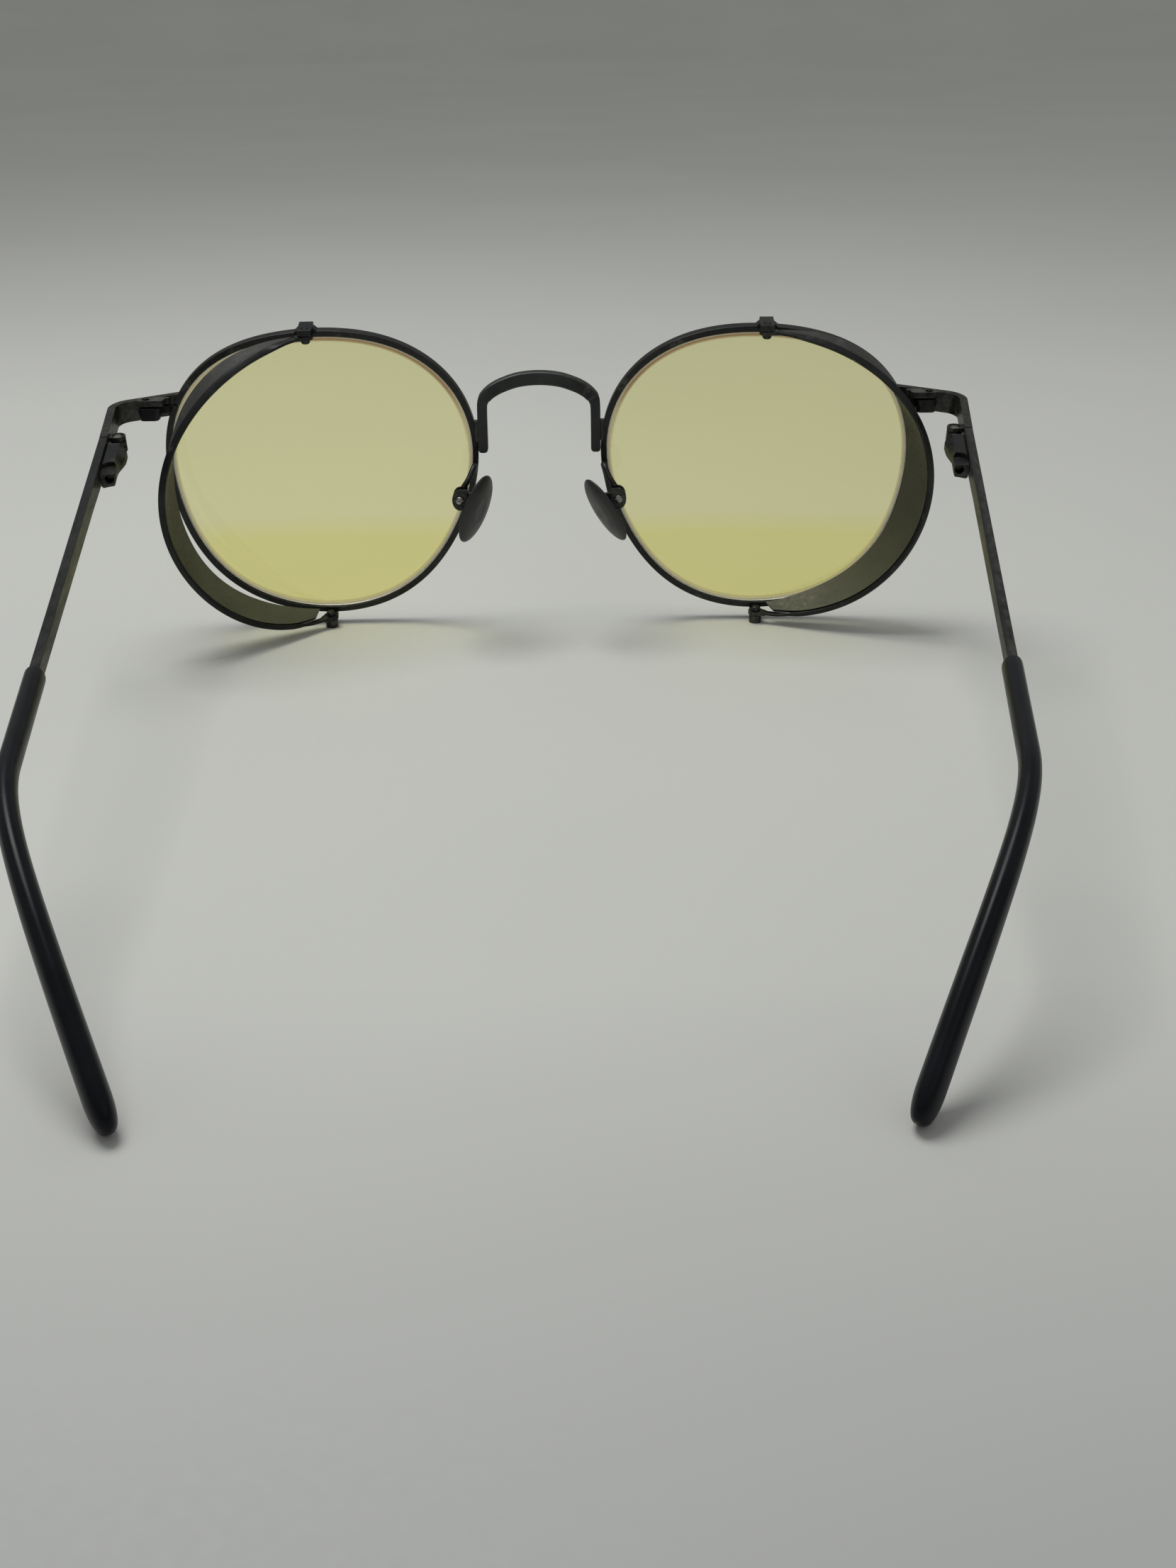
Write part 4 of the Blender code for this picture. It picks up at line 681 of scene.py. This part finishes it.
def makeBlock(low, high, taper, innerX):
    middleX, width = (innerX + closing["outerX"]) / 2, closing["outerX"] - innerX
    sections = []
    for z, wide in ((low, width - 2 * taper), (high, width)):
        outline = softRectangle(wide, closing["depth"], closing["round"], closing["roundSteps"])
        sections.append(place(outline, Vector((middleX, closingY, z)), xAxis, yAxis))
    lugFront = closing["front"] + closing["lugForward"]
    lugLow = Vector((closing["lugX"], lugFront - closing["lugDepth"], max(low, high - strap["thickness"])))
    lugHigh = Vector((closing["innerX"] + closing["depth"] / 2, lugFront, high))
    bore = rod(Vector((closing["screwX"], closingY, 0)), zAxis, hinge["bore"], low - past, high + past)
    lugBlock = block(lugLow, lugHigh)
    return worked(loft(sections), [(lugBlock, join), (bore, cut), (rimCutter(), cut)])


def makeClosingScrew():
    height = closing["upper"] + closing["lower"] + rim["slit"]
    base = Vector((closing["screwX"], closingY, closing["top"] - height))
    seat = height + closing["seat"]
    profile = [(closing["screw"], closing["shankFrom"]), (closing["screw"], height + closing["neck"])]
    profile += headProfile(closing, seat)
    slotBase = base + zAxis * (seat + closing["headHeight"] * closing["slotShare"])
    slot = driverSlot(slotBase, zAxis, xAxis, closing["slot"])
    return worked(turned(base, zAxis, profile), [(slot, cut)])


for name, side in sides:
    upper = makeBlock(splitHigh, closing["top"], 0, closing["plateX"])
    lower = makeBlock(splitLow - closing["lower"], splitLow, closing["taper"], closing["innerX"])
    addToFront(name, side, "EndPiece", makeEndPiece(), frameMetal, "_end_piece", edge=strap["edge"])
    addToFront(name, side, "HingeScrew", makeHingeScrew(), steel, "_hinge_screw", screwEdge)
    addToFront(name, side, "BlockUpper", upper, plateMetalWithSheen, "_closing_block_upper")
    addToFront(name, side, "BlockLower", lower, frameMetal, "_closing_block_lower")
    addToFront(name, side, "BlockScrew", makeClosingScrew(), frameMetal, "_closing_screw", screwEdge)
print("end pieces ready")


# temples

arm = {
    "thickness": 1.2, "hinge": armHeight, "middle": 2.5, "sleeve": 1.9, "middleAt": 37.3, "sleeveAt": 87.3,
    "core": 0.9, "coreHeight": 1.2, "coreLength": 20.0, "gap": 0.25, "steps": 24, "edge": 0.2,
}
housing = {   # lengths run back from the hinge's axis, widths inward from the arm
    "start": 3.6, "length": 10.6, "height": 2.7, "front": 2.4, "belly": 2.8, "rear": 2.0, "bellyAt": 1.6,
    "narrowAt": 7.0, "topShare": 0.72, "facetShare": 0.33, "facet": 0.25, "gap": 0.25, "sunk": 0.15,
    "axis": 1.15, "chamber": 0.66, "rodHole": 0.45, "wallStart": 4.2, "wall": 0.5, "stepAt": 7.4,
    "stepUp": 0.72, "scoop": 1.3, "edge": 0.08, "steps": 44, "boreSteps": 24,
}
tip = {   # eases: how soon the sleeve's fall and its inward sweep turn straight
    "width": 2.4, "height": 3.0, "endWidth": 2.8, "endHeight": 4.8, "bend": 106.5, "length": 37.47,
    "drop": 18.02, "inward": 11.2, "dropEase": 1.7, "inwardEase": 0.41, "boreRoom": 0.6, "boreStart": 0.1,
    "mouth": ((0, 0.5), (0.05, 0.2), (0.18, 0.05), (0.4, 0)),   # (how far in, how much narrower)
    "endLength": 2.6, "endTurn": radians(86), "endBlunt": 0.6,
    "straightSteps": 10, "steps": 60, "endSteps": 12, "sides": 40,
}


def makeArm():
    start = hinge["back"] + hinge["pastPin"] + arm["gap"]
    sections = []
    for step in range(arm["steps"] + 1):
        back = between(start, arm["sleeveAt"], step / arm["steps"])
        if back < arm["middleAt"]:
            height = between(arm["hinge"], arm["middle"], (back - start) / (arm["middleAt"] - start))
        else:
            share = (back - arm["middleAt"]) / (arm["sleeveAt"] - arm["middleAt"])
            height = between(arm["middle"], arm["sleeve"], share)
        centre = armPoint(back, arm["thickness"] / 2, -height / 2)
        sections.append(place(rectangle(arm["thickness"], height), centre, armIn, armUp))
    core = rectangle(arm["core"], arm["coreHeight"])
    for back in (arm["sleeveAt"], arm["sleeveAt"] + arm["coreLength"]):
        sections.append(place(core, sleeveAxis(back), armIn, armUp))
    return loft(sections)


def sleeveAxis(back):
    return armPoint(back, arm["thickness"] / 2, -arm["sleeve"] / 2)


def eased(share, ease):   # level at first, then nearly straight
    return (hypot(share, ease) - ease) / (hypot(1, ease) - ease)


def tipPoint(share):
    down = tip["drop"] * eased(share, tip["dropEase"])
    inward = tip["inward"] * eased(share, tip["inwardEase"])
    return sleeveAxis(tip["bend"] + tip["length"] * share) - armUp * down + armIn * inward


def makeTip():
    mouth = arm["sleeveAt"] + arm["gap"]
    bore = ellipse(arm["core"] + tip["boreRoom"], arm["coreHeight"] + tip["boreRoom"], tip["sides"])
    boreEnds = (mouth + arm["coreLength"], mouth + tip["boreStart"])
    sections = [place(bore, sleeveAxis(back), armIn, armUp) for back in boreEnds]
    path, outlines = [], []
    for rise, shrink in tip["mouth"]:
        path.append(sleeveAxis(mouth + rise))
        outlines.append(ellipse(tip["width"] - shrink, tip["height"] - shrink, tip["sides"]))
    straight = mouth + tip["mouth"][-1][0]
    for step in range(1, tip["straightSteps"]):
        path.append(sleeveAxis(between(straight, tip["bend"], step / tip["straightSteps"])))
        outlines.append(ellipse(tip["width"], tip["height"], tip["sides"]))
    endShare = tip["endLength"] / tip["length"]
    stations = [(step / tip["steps"] * (1 - endShare), 1) for step in range(tip["steps"] + 1)]
    for step in range(tip["endSteps"]):
        turn = tip["endTurn"] * (step + 1) / tip["endSteps"]
        stations.append((1 - endShare + endShare * sin(turn), cos(turn) ** tip["endBlunt"]))
    for share, rounding in stations:
        swell = share * share * (3 - 2 * share)
        width = between(tip["width"], tip["endWidth"], swell) * rounding
        height = between(tip["height"], tip["endHeight"], swell) * rounding
        path.append(tipPoint(share))
        outlines.append(ellipse(width, height, tip["sides"]))
    return loft(sections + sweep(path, armUp, outlines))


def housingWidth(share):
    belly = housing["bellyAt"] / housing["length"]
    if share < belly:
        return between(housing["front"], housing["belly"], sin(share / belly * pi / 2))
    narrow = housing["narrowAt"] / housing["length"]
    fall = (1 - cos(min((share - belly) / (narrow - belly), 1) * pi)) / 2
    return between(housing["belly"], housing["rear"], fall)


def housingPoint(back, inward, up):
    base = strap["thickness"] + housing["gap"]
    return armPoint(hinge["back"] + housing["start"] + back, base + inward, up - armHeight / 2)


def makeHousing():
    half, facet, sunk = housing["height"] / 2, housing["facet"], housing["sunk"]
    sections = []
    for step in range(housing["steps"] + 1):
        share = step / housing["steps"]
        width = housingWidth(share)
        top = min(width, housing["front"] * housing["topShare"])
        side = half * housing["facetShare"]
        outline = (
            (-sunk, facet - half), (-sunk, half - facet), (facet - sunk, half), (top, half), (width, side),
            (width, -side), (width - facet, facet - half), (facet - sunk, -half),
        )
        sections.append([housingPoint(housing["length"] * share, inward, up) for inward, up in outline])
    wallEnd = housing["wallStart"] + housing["wall"]
    small, big = housing["rodHole"], housing["chamber"]
    steps = housing["boreSteps"]
    turns = [pi + pi * (1 - 2 * step) / steps for step in range(steps)]
    bores = []   # the spring's chamber, the wall that the rod runs through, and the slider's chamber
    for back, radius in (
        (housing["length"] + past, big), (wallEnd, big), (wallEnd, small), (housing["wallStart"], small),
        (housing["wallStart"], big), (-past, big),
    ):
        spots = [(housing["axis"] + radius * cos(turn), radius * sin(turn)) for turn in turns]
        bores.append([housingPoint(back, inward, up) for inward, up in spots])
    # the upper part ends in a round scoop above the spring
    scoopEnd = housing["stepAt"] + housing["scoop"]
    scoopBase = housingPoint(scoopEnd, housing["axis"], housing["stepUp"])
    scoop = rod(scoopBase, armUp, housing["scoop"], 0, past)
    behindLow = housingPoint(scoopEnd, -past, housing["stepUp"])
    behindHigh = housingPoint(housing["length"] + past, housing["belly"] + past, housing["stepUp"] + past)
    behind = block(behindLow, behindHigh, (armIn, armUp, armBack))
    return worked(loft(sections), [(loft(bores), cut), (scoop, cut), (behind, cut)])


for name, side in sides:
    body = name + "_temple"
    nodes = [name + "_hinge_housing"]
    addPiece(name + "Arm", makeArm(), side, body, [armMetal], [name + "_temple_arm"], arm["edge"])
    addPiece(name + "Housing", makeHousing(), side, body, [frameMetal], nodes, housing["edge"])
    addPiece(name + "Tip", makeTip(), side, body, [tipBlack], [name + "_temple_tip"])
    for node, look in (("_hinge_slider", frameMetal), ("_hinge_spring", steel)):
        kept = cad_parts[name + node]
        kept.data.materials.clear()
        kept.data.materials.append(look)
print("temples ready")


# nose pads

pad = {
    "screw": Vector((12.6, -7.0, 24.2)), "boxWidth": 2.4, "boxHeight": 3.3, "boxDepth": 2.4, "boxCut": 0.6,
    "boxSteps": 20, "slot": 1.3, "tab": 0.9, "tabRadius": 0.8, "screwRadius": 0.35, "bore": 0.5,
    "seat": 0.08, "head": 0.62, "headHeight": 0.3, "headSlot": 0.18, "slotShare": 0.4,
    "length": 11.2, "width": 7.4, "thickness": 1.4, "sides": 64, "domeSteps": 5,
    "dome": ((-1, 0.8), (-0.6, 1), (0, 0.97), (0.6, 0.75), (1, 0.35)),   # (level, share of the outline)
    "centre": Vector((10.1, -7.6, 22.3)), "splay": radians(26), "flare": radians(31),
    "lean": radians(4), "rock": radians(5), "edge": 0.1,
}
padWire = {
    "thickness": 0.9, "angle": radians(190), "seat": 0.1, "standoff": 1.1, "endInward": 0.5, "sink": 0.12,
    "rise": Vector((10.75, -0.9, 26.2)), "bend": Vector((10.3, -3.6, 28.6)),
    "fall": Vector((11.2, -5.6, 27.0)), "steps": 14, "sides": 24,
}


def padAxes():
    along = Vector((sin(pad["splay"]), -sin(pad["lean"]), -cos(pad["splay"]))).normalized()
    wide = squareTo(Vector((sin(pad["flare"]), -cos(pad["flare"]), 0)), along)
    return along, wide, along.cross(wide)


def makePadArm():
    screw, half, halfHeight = pad["screw"], pad["boxDepth"] / 2, pad["boxHeight"] / 2
    inner, bevel = -pad["boxWidth"] / 2, pad["boxCut"]
    outline = [(inner, halfHeight), (inner, bevel - halfHeight), (inner + bevel, -halfHeight)]
    for step in range(pad["boxSteps"] + 1):
        turn = pi * (step / pad["boxSteps"] - 0.5)
        outline.append((-inner * cos(turn), halfHeight * sin(turn)))
    box = loft([place(outline, screw + yAxis * y, xAxis, zAxis) for y in (-half, half)])
    slotLow = screw - Vector((pad["boxWidth"], pad["slot"] / 2, pad["boxHeight"]))
    slotHigh = screw + Vector((pad["tabRadius"] + play, pad["slot"] / 2, pad["boxHeight"]))
    slot = block(slotLow, slotHigh)
    bore = rod(screw, yAxis, pad["bore"], -half - past, half + past)
    start = rimSpot(padWire["angle"], rim["wall"] / 2, padWire["seat"])
    off = rimSpot(padWire["angle"], rim["wall"] / 2, -padWire["standoff"])
    boxTop = screw + Vector((-padWire["endInward"], pad["slot"] / 2, halfHeight - padWire["sink"]))
    path = [start, off, padWire["rise"], padWire["bend"], padWire["fall"], boxTop]
    path = smooth(path, padWire["steps"])
    outline = ellipse(padWire["thickness"], padWire["thickness"], padWire["sides"])
    wire = loft(sweep(path, xAxis, [outline] * len(path)))
    return worked(box, [(slot, cut), (bore, cut), (wire, join)])


def makePadScrew():
    half = pad["boxDepth"] / 2
    seat = -half - pad["seat"]
    profile = list(reversed(headProfile(pad, seat, -1)))
    profile += [(pad["screwRadius"], seat), (pad["screwRadius"], half)]
    slotBase = pad["screw"] + yAxis * (seat - pad["headHeight"] * pad["slotShare"])
    slot = driverSlot(slotBase, -yAxis, xAxis, pad["headSlot"])
    return worked(turned(pad["screw"], yAxis, profile), [(slot, cut)])


def makePad():
    along, wide, face = padAxes()
    levels = smooth([Vector((height, share, 0)) for height, share in pad["dome"]], pad["domeSteps"])
    sections = []
    for level in levels:
        outline = ellipse(pad["width"] * level.y, pad["length"] * level.y, pad["sides"])
        centre = pad["centre"] + face * (pad["thickness"] / 2 * level.x)
        sections.append(place(outline, centre, wide, along))
    screw, tab = pad["screw"], pad["tab"] / 2
    eye = rod(screw, yAxis, pad["tabRadius"], -tab, tab)
    neckLow = screw - Vector((pad["boxWidth"], tab, pad["tabRadius"]))
    neck = block(neckLow, screw + Vector((0, tab, pad["tabRadius"])))
    bore = rod(screw, yAxis, pad["bore"], -pad["tab"], pad["tab"])
    return worked(loft(sections), [(eye, join), (neck, join), (bore, cut)])


for name, side in sides:
    addToFront(name, side, "PadArm", makePadArm(), frameMetal, "_pad_arm")
    addToFront(name, side, "PadScrew", makePadScrew(), steel, "_pad_screw", screwEdge)
    turn = (mirrored(pad["screw"], side), Quaternion(yAxis, -pad["rock"]))
    nodes = [name + "_nose_pad"]
    addPiece(name + "Pad", makePad(), side, name + "_pad", [padDark], nodes, pad["edge"], turn)
print("nose pads ready")


# lugs, feet, screws and side shields

pivotU, pivotW = 0.7, -1.65   # the shields' pivot line, out from the rim's middle and behind its back
lug = {
    "width": 2.15, "rise": 0.96, "back": 1.25, "bottom": 23.3975, "edge": 0.26,
    "flareLow": 22.9, "flareHigh": 23.85, "flareWidth": 4.4,   # where the braze runs out along the rim
}
foot = {
    "radius": 1.03, "top": -25.1061, "lugWidth": 1.8, "lugHeight": 0.9, "front": 0.12, "bore": 0.9,
    "screwShort": 0.25, "sides": 40, "edge": 0.1,
}
pivotScrew = {"radius": 0.4, "bore": 0.55, "head": 0.72, "headHeight": 0.6}
shield = {
    "overhang": 2.2, "reachPower": 0.964, "angle": radians(9.4), "twist": radians(8.4),
    "lean": radians(-4), "open": radians(24.2),
    # the band along its edge
    "width": 1.05, "thickness": 0.56, "root": 0.46, "round": 0.14, "turn": radians(45), "flat": 3.0,
    "turned": 8.0, "end": radians(87.6), "ahead": radians(2), "steps": 150,
    # its two tabs
    "tab": 0.55, "tabRadius": 1.2, "tabReach": 1.9, "tabSteps": 20,
    # its sheet
    "panel": 0.7, "panelEnd": radians(84), "inset": 0.85, "slant": 3.0, "gap": 0.9, "bulge": 0.1,
    "panelGap": 0.06, "panelEdge": 0.1, "panelSteps": 96, "bands": 12,
}
lugTop = rimRadius(pi / 2) + lug["rise"]
tabHigh = lug["bottom"] - play - shield["tab"]
tabLow = foot["top"] + play


def pivotPoint(v):
    return rimPoint(pivotU, v, pivotW)


def makeTopLug():
    low = rimPoint(pivotU - lug["width"] / 2, lug["bottom"], pivotW - lug["back"])
    high = rimPoint(pivotU + lug["width"] / 2, lugTop, rim["depth"])
    bore = rod(pivotPoint(0), rimUp, pivotScrew["bore"], lug["bottom"] - past, lugTop + past)
    flare = []
    for v, width in ((lug["flareLow"], lug["flareWidth"]), (lug["flareHigh"], lug["width"])):
        outline = rectangle(width, rim["depth"])
        flare.append(place(outline, rimPoint(pivotU, v, rim["depth"] / 2), rimOut, rimFore))
    tools = [(loft(flare), join), (rimCutter(), cut), (bore, cut)]
    return worked(block(low, high, (rimOut, rimFore, rimUp)), tools)


def makeTopScrew():
    head = tabHigh - play
    profile = list(reversed(headProfile(pivotScrew, head, -1)))
    profile += [(pivotScrew["radius"], head), (pivotScrew["radius"], lugTop)]
    return turned(pivotPoint(0), rimUp, profile)


def makeFoot():
    top = pivotPoint(foot["top"])
    ring = hoop(top, rimUp, foot["radius"], foot["sides"])
    ground = [point - rimUp * (point.z / rimUp.z) for point in ring]   # cut level with the table
    low = rimPoint(pivotU - foot["lugWidth"] / 2, foot["top"] - foot["lugHeight"], pivotW)
    high = rimPoint(pivotU + foot["lugWidth"] / 2, -rimRadius(-pi / 2), rim["depth"] - foot["front"])
    lugBlock = block(low, high, (rimOut, rimUp, rimFore))
    relief = rod(top, rimUp, shield["tabRadius"] + play, 0, past)
    bore = rod(top, rimUp, pivotScrew["bore"], -foot["bore"], past)
    return worked(loft([ground, ring]), [(lugBlock, join), (relief, cut), (bore, cut), (rimCutter(), cut)])


def makeFootScrew():
    head = tabLow + shield["tab"] + play
    end = foot["top"] - foot["bore"] + foot["screwShort"]
    profile = [(pivotScrew["radius"], end), (pivotScrew["radius"], head)]
    profile += headProfile(pivotScrew, head)
    return turned(pivotPoint(0), rimUp, profile)


def bandReach(t):
    return (rim["radius"] + shield["overhang"]) * cos(t) ** shield["reachPower"]


def bandPoint(t):   # the middle of the shield's band, at t from -90 to 90 degrees up the shield
    reach = bandReach(t)
    angle = shield["angle"] + shield["twist"] * sin(t) ** 2 + shield["lean"] * sin(t)
    high, low = tabHigh + shield["tab"] / 2, tabLow + shield["tab"] / 2
    v = (high + low) / 2 + (high - low) / 2 * sin(t)
    return rimPoint(pivotU + reach * cos(angle), v, pivotW - reach * sin(angle))


def bandSection(t):   # the band's directions and thickness; it lies flat near its tabs
    ahead, behind = min(t + shield["ahead"], shield["end"]), max(t - shield["ahead"], -shield["end"])
    along = (bandPoint(ahead) - bandPoint(behind)).normalized()
    across = -along.cross(rimFore).normalized()
    back = across.cross(along)
    rise = min(max((bandReach(t) - shield["flat"]) / (shield["turned"] - shield["flat"]), 0), 1)
    turn = shield["turn"] * rise * rise * (3 - 2 * rise)
    wide = across * sin(turn) - back * cos(turn)
    thin = across * cos(turn) + back * sin(turn)
    return wide, thin, between(shield["root"], shield["thickness"], rise)


def makeShieldBand():
    angles = [shield["end"] * (2 * step / shield["steps"] - 1) for step in range(shield["steps"] + 1)]
    sections = []
    for t in angles:
        wide, thin, thickness = bandSection(t)
        outline = softRectangle(shield["width"], thickness, shield["round"])
        sections.append(place(outline, bandPoint(t), wide, thin))
    tools = []
    for level, t in ((tabHigh, angles[-1]), (tabLow, angles[0])):
        centre = pivotPoint(level)
        away = squareTo(bandPoint(t) - centre, rimUp)
        across = rimUp.cross(away)
        turns = [pi * (step / shield["tabSteps"] + 0.5) for step in range(shield["tabSteps"] + 1)]
        radius = shield["tabRadius"]
        outline = [(radius * cos(turn), radius * sin(turn)) for turn in turns]
        outline += [(shield["tabReach"], -shield["width"] / 2), (shield["tabReach"], shield["width"] / 2)]
        top = centre + rimUp * shield["tab"]
        tools.append((loft([place(outline, base, away, across) for base in (centre, top)]), join))
    for level in (tabHigh, tabLow):
        tools.append((rod(pivotPoint(level), rimUp, pivotScrew["bore"], -past, past), cut))
    return worked(loft(sections), tools)


def makeShieldPanel():
    steps, bands = shield["panelSteps"], shield["bands"]
    grid = []
    for step in range(steps + 1):
        t = shield["panelEnd"] * (2 * step / steps - 1)
        slant = shield["slant"] * sin(t) ** 3 * cos(t)
        start = rimSpot(t, shield["inset"] - slant, -shield["gap"])
        wide, thin, thickness = bandSection(t)
        toward = start - bandPoint(t)
        toward = (wide * toward.dot(wide) + thin * toward.dot(thin)).normalized()
        half = abs(toward.dot(wide)) * shield["width"] / 2 + abs(toward.dot(thin)) * thickness / 2
        end = bandPoint(t) + toward * (half + shield["panelGap"])
        outward = (rimOut * cos(t) + rimUp * sin(t)).normalized()
        row = []
        for band in range(bands + 1):
            s = band / bands
            bulge = shield["bulge"] * sin(pi * s) * cos(t)
            row.append(start.lerp(end, s) + outward * bulge)
        grid.append(row)
    middles = [row[bands // 2] for row in grid]
    sections = []
    for index, row in enumerate(grid):
        along = runAt(middles, index)
        skin = []
        for band, point in enumerate(row):
            offset = runAt(row, band).cross(along).normalized() * (shield["panel"] / 2)
            skin.append((point, offset))
        outer = [point + offset for point, offset in skin]
        inner = [point - offset for point, offset in reversed(skin)]
        sections.append(outer + inner)
    shape = loft(sections)
    shape.faces.ensure_lookup_table()
    around = 2 * (bands + 1)
    for index, face in enumerate(shape.faces[:steps * around]):   # the side towards the lens
        if index % around < bands:
            face.material_index = 1
    return shape


swing = Quaternion(mirrored(rimUp, -1), shield["open"])   # the left one stands open
shieldTurns = {"right": None, "left": (mirrored(pivotPoint(0), -1), swing)}
for name, side in sides:
    addToFront(name, side, "TopLug", makeTopLug(), frameMetal, "_shield_lug_top", edge=lug["edge"])
    addToFront(name, side, "TopScrew", makeTopScrew(), frameMetal, "_shield_screw_top", 0)
    addToFront(name, side, "Foot", makeFoot(), frameMetal, "_shield_foot", edge=foot["edge"])
    addToFront(name, side, "FootScrew", makeFootScrew(), frameMetal, "_shield_screw_bottom", 0)
    body, turn = name + "_shield", shieldTurns[name]
    nodes = [name + "_shield_frame"]
    addPiece(name + "ShieldBand", makeShieldBand(), side, body, [frameMetal], nodes, 0, turn)
    sheet, looks, nodes = makeShieldPanel(), [shieldOuter, shieldInner], [name + "_shield_panel"]
    addPiece(name + "ShieldPanel", sheet, side, body, looks, nodes, shield["panelEdge"], turn)
print("side shields ready")


# table, light and camera

studio = {
    "floorRadii": (0.2, 0.6, 1.2, 2.0, 2.6, 3.0, 3.2, 3.3), "floorRises": (0, 0, 0, 0, 0.03, 0.14, 0.34, 0.7),
    "floorSteps": 96, "floorTone": (0.6, 0.605, 0.565, 1), "floorSpeck": (0.57, 0.575, 0.54, 1),
    # painted shadow of the camera side: the table darker near the camera
    "paintedShadowTone": (0.4, 0.405, 0.395, 1), "paintedShadowFrom": -0.125, "paintedShadowTo": -0.045,   # darker near the camera
    "cloud": (6, 4), "cloudSpan": (0.3, 0.7), "fine": (700, 3), "rough": (0.5, 0.6), "bump": (0.05, 0.02),
    "worldTone": (0.98, 1.0, 1.0, 1), "worldStrength": 0.36,
}
lamps = (
    {"name": "topLamp", "power": 2.3, "size": 0.34, "at": (-0.14, 0.1, 0.6), "target": (0, 0.02, 0)},
    {"name": "fillLamp", "power": 0.12, "size": 0.5, "at": (0.45, -0.4, 0.35), "target": (0, 0, 0.02)},
)
view = {
    "at": Vector((7.10, -196.083, 94.13)), "pitch": radians(25.11), "yaw": radians(0.03),
    "roll": radians(-0.63), "lens": 37.83, "nearest": 0.005,
}


def floorLook():
    material, tree, shader = newLook("paleTable")
    cloud = rangeOf(tree, grainOf(tree, *studio["cloud"]), *studio["cloudSpan"])
    tone = blendOf(tree, cloud, studio["floorTone"], studio["floorSpeck"])
    # painted shadow: the table's tone darkens towards the camera
    depth = rangeOf(tree, coordOf(tree, "Object", 1), studio["paintedShadowFrom"], studio["paintedShadowTo"])
    tone = blendOf(tree, depth, studio["paintedShadowTone"], tone)
    dress(tree, shader, tone, grainOf(tree, *studio["fine"]), studio)
    return material


def addFloor():
    rings = []   # a flat round table whose far edge curves up into the backdrop
    for radius, rise in zip(studio["floorRadii"], studio["floorRises"]):
        turns = turnsOf(studio["floorSteps"])
        rings.append([Vector((radius * cos(turn), radius * sin(turn), rise)) for turn in turns])
    shape = loft(rings)
    shape.faces.ensure_lookup_table()
    shape.faces.remove(shape.faces[-1])
    bmesh.ops.recalc_face_normals(shape, faces=shape.faces)
    bmesh.ops.reverse_faces(shape, faces=shape.faces)
    table = addShape("table", shape)
    table.data.materials.append(floorLook())
    table.data.shade_smooth()


def addLamp(lamp):
    data = bpy.data.lights.new(lamp["name"], "AREA")
    data.energy = lamp["power"]
    data.shape = "DISK"
    data.size = lamp["size"]
    obj = addObject(lamp["name"], data)
    obj.location = lamp["at"]
    obj.rotation_euler = (Vector(lamp["target"]) - Vector(lamp["at"])).to_track_quat("-Z", "Y").to_euler()


def addCamera():
    pitch, yaw, roll = view["pitch"], view["yaw"], view["roll"]
    forward = Vector((sin(yaw) * cos(pitch), cos(yaw) * cos(pitch), -sin(pitch)))
    right = Vector((cos(yaw), -sin(yaw), 0))
    up = right.cross(forward)
    across = right * cos(roll) + up * sin(roll)
    upward = up * cos(roll) - right * sin(roll)
    turn = Matrix((across, upward, -forward)).transposed()
    data = bpy.data.cameras.new("camera")
    data.lens = view["lens"]
    data.clip_start = view["nearest"]
    camera = addObject("camera", data)
    camera.matrix_world = Matrix.Translation(view["at"] * mm) @ turn.to_4x4()
    bpy.context.scene.camera = camera


def addWorld():
    world = bpy.data.worlds.new("room")
    world.use_nodes = True
    back = world.node_tree.nodes["Background"]
    back.inputs[0].default_value = studio["worldTone"]
    back.inputs[1].default_value = studio["worldStrength"]
    bpy.context.scene.world = world
    bpy.context.scene.view_settings.view_transform = "Standard"


addFloor()
for lamp in lamps:
    addLamp(lamp)
addCamera()
addWorld()
print("table, light and camera ready")
